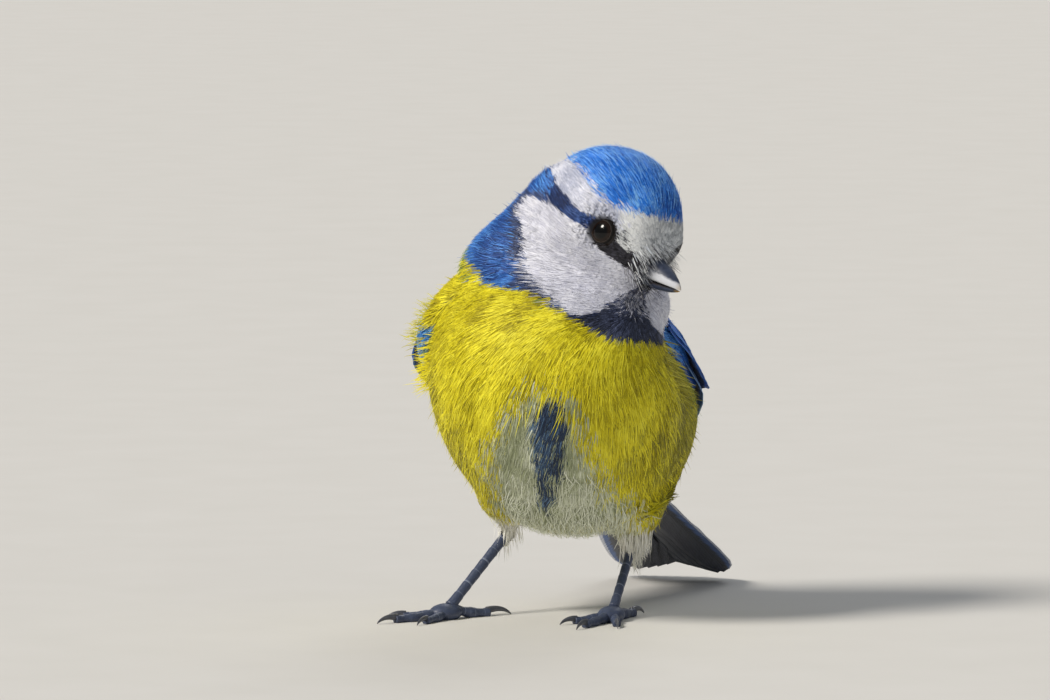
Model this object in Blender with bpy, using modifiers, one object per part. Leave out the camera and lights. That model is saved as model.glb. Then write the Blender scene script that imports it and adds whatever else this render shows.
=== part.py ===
"""A life-size blue tit standing on the floor, its head turned to its left and looking down.

Lengths are in millimetres while the bird is modelled, and the finished meshes are scaled to metres.
+Z is up, the breast faces -Y, and the bird's left side is towards +X. The origin is under the middle
of the bird, on the floor. Outlines are those of the plumage, out to the tips of the feathers.
"""

import math
from dataclasses import dataclass

import bmesh
import bpy
from mathutils import Matrix, Vector

METRES_PER_MM = 0.001
GAP = 0.32  # between touching nodes
CUT = 0.36  # between the two sides of a cut through the plumage
VANE_THICK = 0.5

# Posture: where the main masses are, and which way they point
BODY_CENTRE = (0.8, 0.0, 35.5)
BODY_YAW, BODY_PITCH = -12.0, 31.0
HEAD_CENTRE = (8.6, -13.0, 66.1)
HEAD_YAW, HEAD_PITCH, HEAD_ROLL = 44.0, -23.0, 11.0
TAIL_ROOT = (5.0, 19.0, 25.6)
TAIL_YAW, TAIL_PITCH = 160.0, -27.5
TAIL_LENGTH = 50.0

# Plumage outlines: (along the axis, half-width, height above it, depth below it, rise of the axis)
TORSO_SECTIONS = (
    (-35.0, 3.0, 1.4, 2.4, 1.4),
    (-29.0, 8.0, 4.0, 7.4, 0.8),
    (-21.0, 14.6, 8.6, 14.2, 0.2),
    (-12.0, 19.4, 13.2, 18.6, 0.0),
    (-3.0, 21.3, 16.2, 20.0, 0.0),
    (6.0, 21.5, 17.4, 19.8, 0.0),
    (14.0, 20.2, 17.0, 18.4, 0.0),
    (21.0, 17.0, 15.0, 15.4, 0.0),
    (26.5, 12.4, 11.0, 11.0, 0.0),
    (30.0, 4.5, 4.5, 4.5, 0.0),
)
HEAD_SECTIONS = (
    (-12.0, 2.6, 2.6, 2.6, 0.0),
    (-10.6, 5.6, 5.6, 5.6, 0.0),
    (-7.4, 9.4, 9.4, 9.6, 0.0),
    (-2.0, 11.8, 11.0, 12.0, 0.0),
    (2.2, 11.2, 10.8, 11.6, -0.1),
    (5.6, 9.2, 9.6, 10.4, -0.5),
    (8.6, 6.9, 7.8, 7.6, -1.6),
    (10.6, 4.7, 4.6, 5.0, -3.3),
    (12.0, 3.3, 2.9, 3.5, -4.3),
    (15.0, 2.0, 1.6, 2.0, -4.5),
)
NECK_TOP = (5.6, -10.2, 67.0)  # inside the back of the head
NECK_FOOT = (1.0, -2.0, 46.0)
NECK_SECTIONS = (
    (-9.0, 5.0, 4.5, 5.0, 0.0),
    (-4.6, 9.2, 7.6, 9.2, 0.0),
    (0.0, 11.0, 8.8, 10.6, 0.0),
    (5.0, 13.7, 10.6, 12.2, 0.0),
    (12.5, 17.8, 13.0, 13.8, 0.0),
    (18.0, 17.4, 13.0, 12.6, 0.0),
    (23.0, 10.0, 8.0, 8.0, 0.0),
)

FORM_VOXEL, FORM_SMOOTHING, FORM_KEPT = 1.0, 14, 0.11  # how the joined form is meshed anew
CREASE_ANGLE = 50.0  # edges sharper than this are shaded as edges

HEAD_CUT_RISE = -8.6  # the head ends this far above its centre, along the neck
NECK_CUT_RISE = -15.5
NECK_AXIS_FOOT = (12.0, 0.0, 4.0)  # in the body's frame, where the line from the head to the body ends
RUMP_CUT, TAIL_CUT = -16.0, -28.0  # along the body
BILL_PLANE = 11.7  # along the head, where the feathers stop at the bill

EYE_ALONG, EYE_SIDE, EYE_RISE = 5.15, 6.4, -1.1
EYE_RADIUS, LID_RADIUS = 2.8, 2.1
LID_REACH, LID_WIDE, LID_HIGH, LID_SUNK = 0.55, 0.55, 0.67, 0.35
EYE_OUT = (0.18, 0.98, 0.06)  # which way each eye looks, in the head's frame

BILL_LENGTH, BILL_DROP = 6.5, 0.05
BILL_SECTIONS = (  # share of the length, half-width, height, depth
    (0.0, 2.15, 2.6, 2.3),
    (0.35, 1.75, 2.15, 1.9),
    (0.7, 1.1, 1.4, 1.2),
    (0.92, 0.48, 0.68, 0.5),
    (1.0, 0.14, 0.22, 0.14),
)
MOUTH_RISE, MOUTH_SLOPE = -1.05, 0.155
NOSTRIL_PLACE, NOSTRIL_RADII = (1.3, 1.6, 2.0), (0.62, 0.36, 0.36)  # from the mouth's root

WING_ENVELOPE = (  # along the body, reach to the side, height over the back
    (-50.0, 4.6, 10.6),
    (-40.0, 7.0, 10.2),
    (-30.0, 11.0, 11.0),
    (-21.0, 16.0, 12.8),
    (-12.0, 20.0, 15.4),
    (-3.0, 22.0, 18.2),
    (6.0, 22.5, 19.4),
    (14.0, 21.2, 19.0),
    (22.0, 17.4, 16.6),
)

WING_SKIN = 0.35  # from the wing's envelope to the core's inner face
WING_LOWER = {"left": 22.0, "right": 10.0}  # degrees up from the flank's middle, at the shoulder
WING_UPPER = {"left": 78.0, "right": 74.0}
WING_CORE = (  # along the body, share of the wing's breadth, height of the outer face
    (17.5, 0.42, 0.8),
    (16.0, 0.66, 1.7),
    (12.0, 0.9, 2.4),
    (6.0, 1.0, 2.3),
    (-1.0, 1.0, 1.9),
    (-7.0, 0.92, 1.3),
    (-9.5, 0.7, 0.8),
)
WING_TIERS = (  # each row of feathers, from the lowest layer to the outermost
    # name, count, roots along, tips along, lowest and highest place at the roots and at the tips
    # as shares of the wing's breadth, half-width, height, rise of each over the one below it, tilt
    ("primary", 6, (1.0, 0.0), (-44.5, -29.5), (0.10, 0.34), (0.30, 0.74), 2.3, 0.85, 0.20, 0.35),
    ("secondary", 5, (0.0, 0.5), (-29.0, -22.0), (0.40, 0.72), (0.42, 0.80), 2.9, 1.35, 0.12, 0.6),
    ("tertial", 3, (1.0, 2.0), (-23.0, -13.5), (0.78, 0.94), (0.74, 0.93), 2.9, 1.9, 0.15, 0.6),
    ("primary covert", 2, (9.0, 8.0), (-9.0, -7.0), (0.10, 0.24), (0.12, 0.28), 2.2, 1.6, 0.1, 0.4),
    ("greater covert", 6, (6.0, 6.0), (-9.5, -7.0), (0.32, 0.95), (0.34, 0.92), 2.8, 1.95, 0.0, 0.6),
    ("median covert", 5, (12.5, 12.0), (1.5, 2.5), (0.14, 0.92), (0.16, 0.94), 3.2, 2.4, 0.0, 0.6),
)
TAIL_VANES, TAIL_VANE_HALF, TAIL_SPREAD = 12, 3.3, 1.55  # degrees from one vane to the next
TAIL_STEP, TAIL_TILT = 0.3, 0.25
TAIL_NOTCH, TAIL_OUTER_SHORT = 1.6, 1.2  # how much shorter the middle and the outermost pair are
TAIL_TOP, TAIL_ROOT_PITCH = 1.4, 0.35  # height of the middle pair, and the spacing at the root
TAIL_ROOT_ALONG, TAIL_ROOT_RADII = 4.0, (9.0, 3.6, 1.5)
VANE_OUTLINE = ((0.0, 0.75), (0.3, 1.0), (0.62, 1.0), (0.87, 0.74), (1.0, 0.24))  # length, width
VANE_ROOT_SINK, VANE_RISEN = 0.28, 0.3  # a vane rises by this share over this part of its length

TARSUS_THICK = 1.7
ANKLES = {"right": (-8.3, 8.8, 13.8), "left": (11.9, 11.2, 12.3)}
THIGH_RADII = {"left": (7.8, 6.2, 3.5, 2.3, 1.45), "right": (6.6, 5.2, 3.2, 2.2, 1.45)}
KNEES = {"right": (-9.0, -0.5, 24.5), "left": (12.6, 1.0, 22.6)}
FOOT_JOINTS = {"right": (-18.0, 1.5, 2.1), "left": (8.3, -1.5, 2.1)}
FOOT_YAWS = {"right": -58.0, "left": -26.0}
TOES = {  # angle from straight ahead, length without the claw, claw length, thickness
    "hallux": (180.0, 7.2, 5.2, 1.8),
    "inner": (-30.0, 7.6, 3.6, 1.55),
    "middle": (0.0, 10.4, 4.2, 1.65),
    "outer": (29.0, 8.0, 3.6, 1.55),
}
PALM_RADII, PALM_AHEAD, PALM_RISE = (2.9, 2.1, 1.5), 0.9, 1.1
SCUTES, SCUTE_STEP, HEEL_SWELL = 6, 0.05, 0.22
TOE_START, TOE_TAPER, TOE_SWELL, TOE_LIFT, TOE_SUNK = 1.6, 0.22, 0.10, 0.75, 0.13
CLAW_BEND, CLAW_TILT, CLAW_ROOT, CLAW_TIP = 1.25, 0.18, 0.62, 0.09

COLOURS = {  # plain colours of the plumage and the bare parts
    "head": (0.80, 0.82, 0.86),
    "neck": (0.05, 0.09, 0.30),
    "torso": (0.75, 0.66, 0.04),
    "rump": (0.42, 0.44, 0.16),
    "tail": (0.10, 0.17, 0.40),
    "wing": (0.08, 0.22, 0.62),
    "thigh": (0.72, 0.70, 0.58),
    "leg": (0.10, 0.13, 0.24),
    "claw": (0.05, 0.05, 0.07),
    "bill": (0.06, 0.07, 0.10),
    "eye": (0.01, 0.008, 0.006),
}
ROUGHNESS = {"eye": 0.05, "bill": 0.35, "leg": 0.5, "claw": 0.3}


@dataclass(frozen=True)
class Frame:
    """A place with its own forward, left and up directions."""

    origin: Vector
    forward: Vector
    left: Vector
    up: Vector

    def at(self, along, side, rise):
        return self.origin + self.forward * along + self.left * side + self.up * rise

    def turned(self, direction):
        return self.forward * direction[0] + self.left * direction[1] + self.up * direction[2]


def frame(origin, yaw, pitch, roll=0.0):
    """Yaw 0 faces -Y and grows towards +X, pitch is up from level, and roll tips the top to the left."""
    y, p, r = (math.radians(v) for v in (yaw, pitch, roll))
    forward = Vector((math.sin(y) * math.cos(p), -math.cos(y) * math.cos(p), math.sin(p)))
    level_left = Vector((math.cos(y), math.sin(y), 0.0))
    level_up = forward.cross(level_left)
    left = level_left * math.cos(r) - level_up * math.sin(r)
    return Frame(Vector(origin), forward, left, forward.cross(left))


BODY = frame(BODY_CENTRE, BODY_YAW, BODY_PITCH)
HEAD = frame(HEAD_CENTRE, HEAD_YAW, HEAD_PITCH, HEAD_ROLL)
TAIL = frame(TAIL_ROOT, TAIL_YAW, TAIL_PITCH)


def smooth_between(stations, position):
    """Values at a position, on a smooth curve through rows whose first number is their own position."""
    last = len(stations) - 1
    i = 0
    while i < last - 1 and position > stations[i + 1][0]:
        i += 1
    p0, p1, p2, p3 = (stations[min(max(k, 0), last)] for k in (i - 1, i, i + 1, i + 2))
    span = p2[0] - p1[0]
    t = min(max((position - p1[0]) / span, 0.0), 1.0)
    found = []
    for a, b, c, d in zip(p0[1:], p1[1:], p2[1:], p3[1:]):
        slope_in = (c - a) / (p2[0] - p0[0]) * span
        slope_out = (d - b) / (p3[0] - p1[0]) * span
        value = (2 * t**3 - 3 * t**2 + 1) * b + (t**3 - 2 * t**2 + t) * slope_in
        found.append(value + (3 * t**2 - 2 * t**3) * c + (t**3 - t**2) * slope_out)
    return found


def clear_scene():
    for obj in list(bpy.data.objects):
        bpy.data.objects.remove(obj)


def collection_named(name):
    made = bpy.data.collections.new(name)
    bpy.context.scene.collection.children.link(made)
    return made


def object_of(bm, name):
    """A new object of this mesh, with its faces pointing out."""
    bmesh.ops.recalc_face_normals(bm, faces=bm.faces)
    mesh = bpy.data.meshes.new(name)
    bm.to_mesh(mesh)
    bm.free()
    obj = bpy.data.objects.new(name, mesh)
    bpy.context.scene.collection.objects.link(obj)
    return obj


def apply_modifiers(obj):
    """Replaces the object's mesh by what its modifiers make of it."""
    bpy.context.view_layer.update()
    graph = bpy.context.evaluated_depsgraph_get()
    mesh = bpy.data.meshes.new_from_object(obj.evaluated_get(graph))
    obj.modifiers.clear()
    obj.data = mesh
    return obj


def skin_rings(rings, name):
    """Closes a row of equal rings of points into one solid."""
    bm = bmesh.new()
    loops = [[bm.verts.new(p) for p in ring] for ring in rings]
    sides = len(loops[0])
    for first, second in zip(loops, loops[1:]):
        for k in range(sides):
            bm.faces.new((first[k], first[(k + 1) % sides], second[(k + 1) % sides], second[k]))
    bm.faces.new(loops[0])
    bm.faces.new(loops[-1])
    return object_of(bm, name)


def loft(place, sections, name, rings=22, sides=32):
    """A solid along a frame's forward axis, with an egg-shaped outline at each station."""
    low, high = sections[0][0], sections[-1][0]
    made = []
    for i in range(rings):
        ease = 0.5 - 0.5 * math.cos(math.pi * i / (rings - 1))
        along = low + (high - low) * ease
        width, above, below, rise = smooth_between(sections, along)
        ring = []
        for k in range(sides):
            angle = 2 * math.pi * k / sides
            tall = above if math.sin(angle) > 0 else below
            ring.append(place.at(along, width * math.cos(angle), rise + tall * math.sin(angle)))
        made.append(ring)
    return skin_rings(made, name)


def tube(points, radii, name, sides=10, flatten=1.0):
    """A solid round a path, with its own radius at each point; flatten narrows it sideways."""
    points = [Vector(p) for p in points]
    rings = []
    across = (points[1] - points[0]).cross(Vector((0, 0, 1))).normalized()
    for i, (point, radius) in enumerate(zip(points, radii)):
        ahead = points[min(i + 1, len(points) - 1)] - points[max(i - 1, 0)]
        ahead.normalize()
        across = (across - ahead * across.dot(ahead)).normalized()
        over = across.cross(ahead)
        ring = []
        for k in range(sides):
            angle = 2 * math.pi * (k + 0.5) / sides
            out = across * math.cos(angle) * flatten + over * math.sin(angle)
            ring.append(point + out * radius)
        rings.append(ring)
    return skin_rings(rings, name)


def ball(centre, radii, name, turn=None, segments=24, rings=14):
    """An ellipsoid; turn is the frame whose axes its radii follow."""
    bm = bmesh.new()
    bmesh.ops.create_uvsphere(bm, u_segments=segments, v_segments=rings, radius=1.0)
    bmesh.ops.scale(bm, vec=Vector(radii), verts=bm.verts)
    if turn is not None:
        rotation = Matrix((turn.forward, turn.left, turn.up)).transposed()
        bmesh.ops.rotate(bm, matrix=rotation, cent=(0, 0, 0), verts=bm.verts)
    bmesh.ops.translate(bm, vec=Vector(centre), verts=bm.verts)
    return object_of(bm, name)


def plate(point, rows, name, columns=2):
    """A thin closed sheet: point(u, v, face) gives its places, u along it, v from -1 to 1 across it."""
    bm = bmesh.new()
    grids = []
    for face in (-1, 1):
        grids.append(
            [
                [bm.verts.new(point(u, -1 + 2 * j / columns, face)) for j in range(columns + 1)]
                for u in rows
            ]
        )
    low, high = grids
    for i in range(len(rows) - 1):
        for j in range(columns):
            for grid in grids:
                a, b = grid[i][j], grid[i][j + 1]
                c, d = grid[i + 1][j + 1], grid[i + 1][j]
                bm.faces.new((a, b, c))
                bm.faces.new((a, c, d))
    rim = [(0, j) for j in range(columns)]
    rim += [(i, columns) for i in range(len(rows) - 1)]
    rim += [(len(rows) - 1, columns - j) for j in range(columns)]
    rim += [(len(rows) - 1 - i, 0) for i in range(len(rows) - 1)]
    for (i, j), (k, m) in zip(rim, rim[1:] + rim[:1]):
        bm.faces.new((low[i][j], low[k][m], high[k][m]))
        bm.faces.new((low[i][j], high[k][m], high[i][j]))
    return object_of(bm, name)


def keep_largest(obj):
    """Deletes every closed surface of a mesh but the largest, and merges points that coincide."""
    bm = bmesh.new()
    bm.from_mesh(obj.data)
    bmesh.ops.remove_doubles(bm, verts=bm.verts, dist=1e-4)
    left = set(bm.faces)
    surfaces = []
    while left:
        found, edge = set(), [left.pop()]
        while edge:
            face = edge.pop()
            found.add(face)
            near = {f for e in face.edges for f in e.link_faces} & left
            left -= near
            edge.extend(near)
        surfaces.append(found)
    surfaces.sort(key=lambda faces: sum(f.calc_area() for f in faces))
    for faces in surfaces[:-1]:
        bmesh.ops.delete(bm, geom=list(faces), context="FACES")
    bmesh.ops.triangulate(bm, faces=bm.faces)
    bm.to_mesh(obj.data)
    bm.free()
    return obj


def fuse(pieces, name):
    """Joins closed pieces into one body with a single Boolean union."""
    base, rest = pieces[0], pieces[1:]
    joined = collection_named("joining")
    for piece in rest:
        bpy.context.scene.collection.objects.unlink(piece)
        joined.objects.link(piece)
    boolean = base.modifiers.new("union", "BOOLEAN")
    boolean.operation = "UNION"
    boolean.operand_type = "COLLECTION"
    boolean.collection = joined
    boolean.solver = "EXACT"
    apply_modifiers(base)
    for piece in rest:
        bpy.data.objects.remove(piece)
    bpy.data.collections.remove(joined)
    base.name = name
    return keep_largest(base)


def cut_out(obj, cutter):
    """Takes the cutter's form out of the object and deletes the cutter."""
    boolean = obj.modifiers.new("cut", "BOOLEAN")
    boolean.operation = "DIFFERENCE"
    boolean.object = cutter
    boolean.solver = "EXACT"
    apply_modifiers(obj)
    bpy.data.objects.remove(cutter)


def cut_clear(obj, others):
    """Cuts the object back so that it meets each other solid with a gap."""
    for other in others:
        cutter = other.copy()
        cutter.data = other.data.copy()
        bpy.context.scene.collection.objects.link(cutter)
        grown = cutter.modifiers.new("grown", "DISPLACE")
        grown.strength = GAP
        grown.mid_level = 0.0
        cut_out(obj, apply_modifiers(cutter))
    return keep_largest(obj)


def keep_beyond(obj, point, normal):
    """Cuts the object flat and keeps the side that the normal points to."""
    bm = bmesh.new()
    bm.from_mesh(obj.data)
    geometry = bm.verts[:] + bm.edges[:] + bm.faces[:]
    bmesh.ops.bisect_plane(bm, geom=geometry, plane_co=point, plane_no=normal, clear_inner=True)
    rim = [edge for edge in bm.edges if edge.is_boundary]
    bmesh.ops.holes_fill(bm, edges=rim)
    bmesh.ops.triangulate(bm, faces=bm.faces)
    bmesh.ops.recalc_face_normals(bm, faces=bm.faces)
    bm.to_mesh(obj.data)
    bm.free()
    return obj


def slice_of(obj, name, cuts):
    """A copy of the object, cut flat at each (point, normal)."""
    piece = obj.copy()
    piece.data = obj.data.copy()
    piece.name = name
    bpy.context.scene.collection.objects.link(piece)
    for point, normal in cuts:
        keep_beyond(piece, point, normal)
    return keep_largest(piece)


def neck_frame():
    """The frame whose forward axis runs from the back of the head down to the shoulders."""
    down = (Vector(NECK_FOOT) - Vector(NECK_TOP)).normalized()
    left = Vector((1, 0, 0))
    left = (left - down * left.dot(down)).normalized()
    return Frame(Vector(NECK_TOP), down, left, down.cross(left))


def plumage_form():
    """Head, neck, mantle and torso as one smooth closed form."""
    pieces = [
        loft(BODY, TORSO_SECTIONS, "torso form"),
        loft(HEAD, HEAD_SECTIONS, "head form"),
        loft(neck_frame(), NECK_SECTIONS, "neck form"),
    ]
    form = fuse(pieces, "plumage")
    remesh = form.modifiers.new("even mesh", "REMESH")
    remesh.mode = "VOXEL"
    remesh.voxel_size = FORM_VOXEL
    smooth = form.modifiers.new("soft creases", "SMOOTH")
    smooth.factor = 0.5
    smooth.iterations = FORM_SMOOTHING
    thin_out = form.modifiers.new("fewer faces", "DECIMATE")
    thin_out.ratio = FORM_KEPT
    return apply_modifiers(form)


def neck_planes():
    """The cuts between head, neck and torso, square to the line from the torso to the head."""
    axis = (HEAD.origin - BODY.at(*NECK_AXIS_FOOT)).normalized()
    head_cut = HEAD.origin + axis * HEAD_CUT_RISE
    neck_cut = HEAD.origin + axis * NECK_CUT_RISE
    return axis, head_cut, neck_cut


def make_trunk():
    """Head, neck, torso and rump, parted by thin cuts."""
    form = plumage_form()
    axis, head_cut, neck_cut = neck_planes()
    half = axis * (CUT / 2)
    rump_cut = BODY.at(RUMP_CUT, 0, 0)
    tail_cut = BODY.at(TAIL_CUT, 0, 0)
    half_back = BODY.forward * (CUT / 2)
    head = slice_of(form, "head", [(head_cut + half, axis), (HEAD.at(BILL_PLANE, 0, 0), -HEAD.forward)])
    neck = slice_of(form, "neck", [(head_cut - half, -axis), (neck_cut + half, axis)])
    torso = slice_of(form, "torso", [(neck_cut - half, -axis), (rump_cut + half_back, BODY.forward)])
    rump = slice_of(
        form, "rump", [(rump_cut - half_back, -BODY.forward), (tail_cut + half_back, BODY.forward)]
    )
    coverts = slice_of(form, "tail coverts", [(tail_cut - half_back, -BODY.forward)])
    return form, head, neck, torso, rump, coverts


def eye_place(side):
    """Centre of an eyeball and the way it looks; side is 1 for the left eye and -1 for the right."""
    centre = HEAD.at(EYE_ALONG, side * EYE_SIDE, EYE_RISE)
    outward = HEAD.turned((EYE_OUT[0], side * EYE_OUT[1], EYE_OUT[2])).normalized()
    return centre, outward


def lid(side):
    """The bare ring round an eye, sunk in the feathers."""
    centre, outward = eye_place(side)
    depth = math.sqrt(EYE_RADIUS**2 - LID_RADIUS**2)
    bm = bmesh.new()
    around, across = 16, 6
    turn = Vector((0, 0, 1)).rotation_difference(outward).to_matrix()
    loops = []
    for i in range(around):
        a = 2 * math.pi * i / around
        loop = []
        for j in range(across):
            b = 2 * math.pi * j / across
            reach = LID_RADIUS + LID_REACH + LID_WIDE * math.cos(b)
            rise = depth - LID_SUNK + LID_HIGH * math.sin(b)
            local = Vector((reach * math.cos(a), reach * math.sin(a), rise))
            loop.append(bm.verts.new(centre + turn @ local))
        loops.append(loop)
    for i in range(around):
        for j in range(across):
            first, second = loops[i], loops[(i + 1) % around]
            k = (j + 1) % across
            bm.faces.new((first[j], first[k], second[k], second[j]))
    return object_of(bm, "lid")


def make_eyes(head):
    """Both eyeballs in their sockets, and the lids as rings raised on the head."""
    for side in (1, -1):
        centre, _ = eye_place(side)
        head = fuse([head, lid(side)], "head")
        cut_out(head, ball(centre, (EYE_RADIUS + GAP,) * 3, "socket", segments=16, rings=10))
        keep_largest(head)
    eyes = []
    for side, word in ((1, "left"), (-1, "right")):
        centre, _ = eye_place(side)
        eyes.append(ball(centre, (EYE_RADIUS,) * 3, f"eye_{word}", segments=16, rings=10))
    return head, eyes


def make_bill():
    """Both halves of the bill, parted at the mouth, with a nostril on each side."""
    base = BILL_PLANE + GAP
    rings = []
    for i in range(11):
        share = 1 - (1 - i / 10) ** 1.3
        width, above, below = smooth_between(BILL_SECTIONS, share)
        centre_rise = smooth_between(HEAD_SECTIONS, BILL_PLANE)[3] - BILL_DROP * share**1.6
        ring = []
        for k in range(14):
            angle = 2 * math.pi * k / 14
            tall = above if math.sin(angle) > 0 else below
            ring.append(
                HEAD.at(
                    base + BILL_LENGTH * share,
                    width * math.cos(angle),
                    centre_rise + tall * math.sin(angle),
                )
            )
        rings.append(ring)
    whole = skin_rings(rings, "bill")
    mouth_rise = smooth_between(HEAD_SECTIONS, BILL_PLANE)[3] + MOUTH_RISE
    normal = (HEAD.up - HEAD.forward * MOUTH_SLOPE).normalized()
    mouth = HEAD.at(base, 0, mouth_rise)
    half = normal * (GAP / 2)
    upper = slice_of(whole, "bill_upper", [(mouth + half, normal)])
    lower = slice_of(whole, "bill_lower", [(mouth - half, -normal)])
    bpy.data.objects.remove(whole)
    ahead, aside, rise = NOSTRIL_PLACE
    for side in (1, -1):
        place = HEAD.at(base + ahead, side * aside, mouth_rise + rise)
        cut_out(upper, ball(place, NOSTRIL_RADII, "nostril", HEAD, 8, 6))
    return [keep_largest(upper), lower]


def wing_place(side, along, around, height):
    """A place over the folded wing: around is in degrees up from the flank's middle."""
    reach, rise = smooth_between(WING_ENVELOPE, along)
    angle = math.radians(around)
    out = Vector((math.cos(angle) / reach, math.sin(angle) / rise)).normalized()
    across = reach * math.cos(angle) + height * out.x
    up = rise * math.sin(angle) + height * out.y
    return BODY.at(along, side * across, up)


def vane(centre, half_width, height, tilt, name):
    """A thin feather; centre(u, across, height) places it, across in millimetres from its middle."""
    bm = bmesh.new()
    rows = []
    for u, share in VANE_OUTLINE:
        rise = height * (1 - VANE_ROOT_SINK * (1 - min(u / VANE_RISEN, 1.0)))
        rows.append([bm.verts.new(centre(u, v * share * half_width, rise + tilt * v)) for v in (-1, 1)])
    for (a, b), (d, c) in zip(rows, rows[1:]):
        bm.faces.new((a, b, c))
        bm.faces.new((a, c, d))
    mesh = bpy.data.meshes.new(name)
    bm.to_mesh(mesh)
    bm.free()
    obj = bpy.data.objects.new(name, mesh)
    bpy.context.scene.collection.objects.link(obj)
    thick = obj.modifiers.new("thickness", "SOLIDIFY")
    thick.thickness = VANE_THICK
    thick.offset = 0.0
    return apply_modifiers(obj)


def wing_breadth(word, share):
    """Degrees up from the flank's middle, for a share of the wing's breadth."""
    return WING_LOWER[word] + (WING_UPPER[word] - WING_LOWER[word]) * share


def wing_vane(side, word, tier, index):
    """One feather of a tier, from the lowest on the flank to the highest on the back."""
    name, count, roots, tips, root_share, tip_share, half_width, height, step, tilt = tier
    order = index / (count - 1)
    start, end, low, high = (a + (b - a) * order for a, b in (roots, tips, root_share, tip_share))
    root, tip = wing_breadth(word, low), wing_breadth(word, high)

    def centre(u, across, lift):
        along = start + (end - start) * u
        around = root + (tip - root) * u
        reach, rise = smooth_between(WING_ENVELOPE, along)
        angle = math.radians(around)
        arm = math.hypot(reach * math.sin(angle), rise * math.cos(angle))
        return wing_place(side, along, around + math.degrees(across / arm), lift)

    return vane(centre, half_width, height + step * index, -tilt, f"{name} {index}")


def make_wing(side, word):
    """A folded wing: tiers of feathers rooted in a thin core."""

    def point(u, v, face):
        along = WING_CORE[0][0] + (WING_CORE[-1][0] - WING_CORE[0][0]) * u
        stations = [(-station[0], *station[1:]) for station in WING_CORE]
        share, outer = smooth_between(stations, -along)
        around = wing_breadth(word, 0.5 + 0.5 * share * v)
        rounded = outer * (1 - 0.45 * v * v)
        return wing_place(side, along, around, rounded if face > 0 else WING_SKIN)

    pieces = [plate(point, [i / 7 for i in range(8)], "wing core", columns=4)]
    for tier in WING_TIERS:
        for index in range(tier[1]):
            pieces.append(wing_vane(side, word, tier, index))
    return fuse(pieces, f"wing_{word}")


def tail_vane(index):
    """One tail feather; the middle pair lies on top and each next one a step lower."""
    order = index - (TAIL_VANES - 1) / 2
    outward = 1 if order > 0 else -1
    swing = math.radians(TAIL_SPREAD * order)
    notch = TAIL_NOTCH * (1 - abs(order) / (TAIL_VANES / 2)) ** 2
    outermost = abs(order) > TAIL_VANES / 2 - 1
    length = TAIL_LENGTH - notch - (TAIL_OUTER_SHORT if outermost else 0.0)

    def centre(u, across, lift):
        along = -2.0 + (length + 2.0) * u
        reach = along * math.cos(swing) - across * math.sin(swing)
        side = along * math.sin(swing) + across * math.cos(swing) + TAIL_ROOT_PITCH * order
        return TAIL.at(reach, side, lift)

    height = TAIL_TOP - TAIL_STEP * abs(order)
    return vane(centre, TAIL_VANE_HALF, height, TAIL_TILT * outward, f"rectrix {index}")


def tail_sheath():
    """A closed form that clears the root half of the tail on all sides."""

    def point(u, v, face):
        along = -8.0 + 42.0 * u
        half_width = 6.0 + 5.5 * math.radians(TAIL_SPREAD) * max(along, 0.0)
        top = 2.6 - 1.5 * v * v
        return TAIL.at(along, v * half_width, top if face > 0 else -3.0)

    return plate(point, [i / 3 for i in range(4)], "tail sheath", columns=4)


def make_tail(coverts, rump):
    """The tail: overlapping vanes rooted in its coverts."""
    root = ball(TAIL.at(TAIL_ROOT_ALONG, 0, 0), TAIL_ROOT_RADII, "tail root", TAIL, 16, 10)
    fan = fuse([root] + [tail_vane(i) for i in range(TAIL_VANES)], "fan")
    cut_clear(fan, [rump])
    return fuse([coverts, fan], "tail")


def on_floor(obj):
    """Cuts off what reaches below the floor, which leaves small flats to stand on."""
    return keep_beyond(obj, Vector((0, 0, 0)), Vector((0, 0, 1)))


def make_toe(word, name, joint, yaw, palm):
    """A toe of jointed pads and its curved claw."""
    angle, length, claw_length, thick = TOES[name]
    heading = math.radians(yaw + angle)
    ahead = Vector((math.sin(heading), -math.cos(heading), 0.0))
    radius = thick / 2
    points, radii = [], []
    steps = 10
    for i in range(steps + 1):
        share = i / steps
        pads = 3 if name == "middle" else 2
        swell = TOE_SWELL * math.cos(share * math.pi * 2 * pads)
        r = radius * (1 - TOE_TAPER * share + swell)
        lift = TOE_LIFT * (1 - share) ** 3
        reach = TOE_START + (length - TOE_START) * share
        points.append(Vector((joint[0], joint[1], r - TOE_SUNK + lift)) + ahead * reach)
        radii.append(r)
    toe = tube(points, radii, f"toe_{word}_{name}", sides=8)
    on_floor(toe)
    cut_clear(toe, [palm])
    bend_radius = claw_length / CLAW_BEND
    start = points[-1] + ahead * GAP
    start.z = radii[-1] + 0.1
    claw_points, claw_radii = [], []
    for i in range(7):
        share = i / 6
        turn = CLAW_TILT - CLAW_BEND * share
        rise = bend_radius * (math.cos(turn) - math.cos(CLAW_TILT))
        reach = bend_radius * (math.sin(CLAW_TILT) - math.sin(turn))
        claw_points.append(start + ahead * reach + Vector((0, 0, rise)))
        claw_radii.append(CLAW_ROOT * radius * (1 - share) ** 0.8 + CLAW_TIP)
    lowest = min(p.z - r for p, r in zip(claw_points, claw_radii))
    for i, p in enumerate(claw_points):
        p.z -= (lowest - 0.02) * (i / 6) ** 1.5
    claw = tube(claw_points, claw_radii, f"claw_{word}_{name}", sides=8, flatten=0.75)
    on_floor(claw)
    return [toe, keep_largest(claw)]


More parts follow.
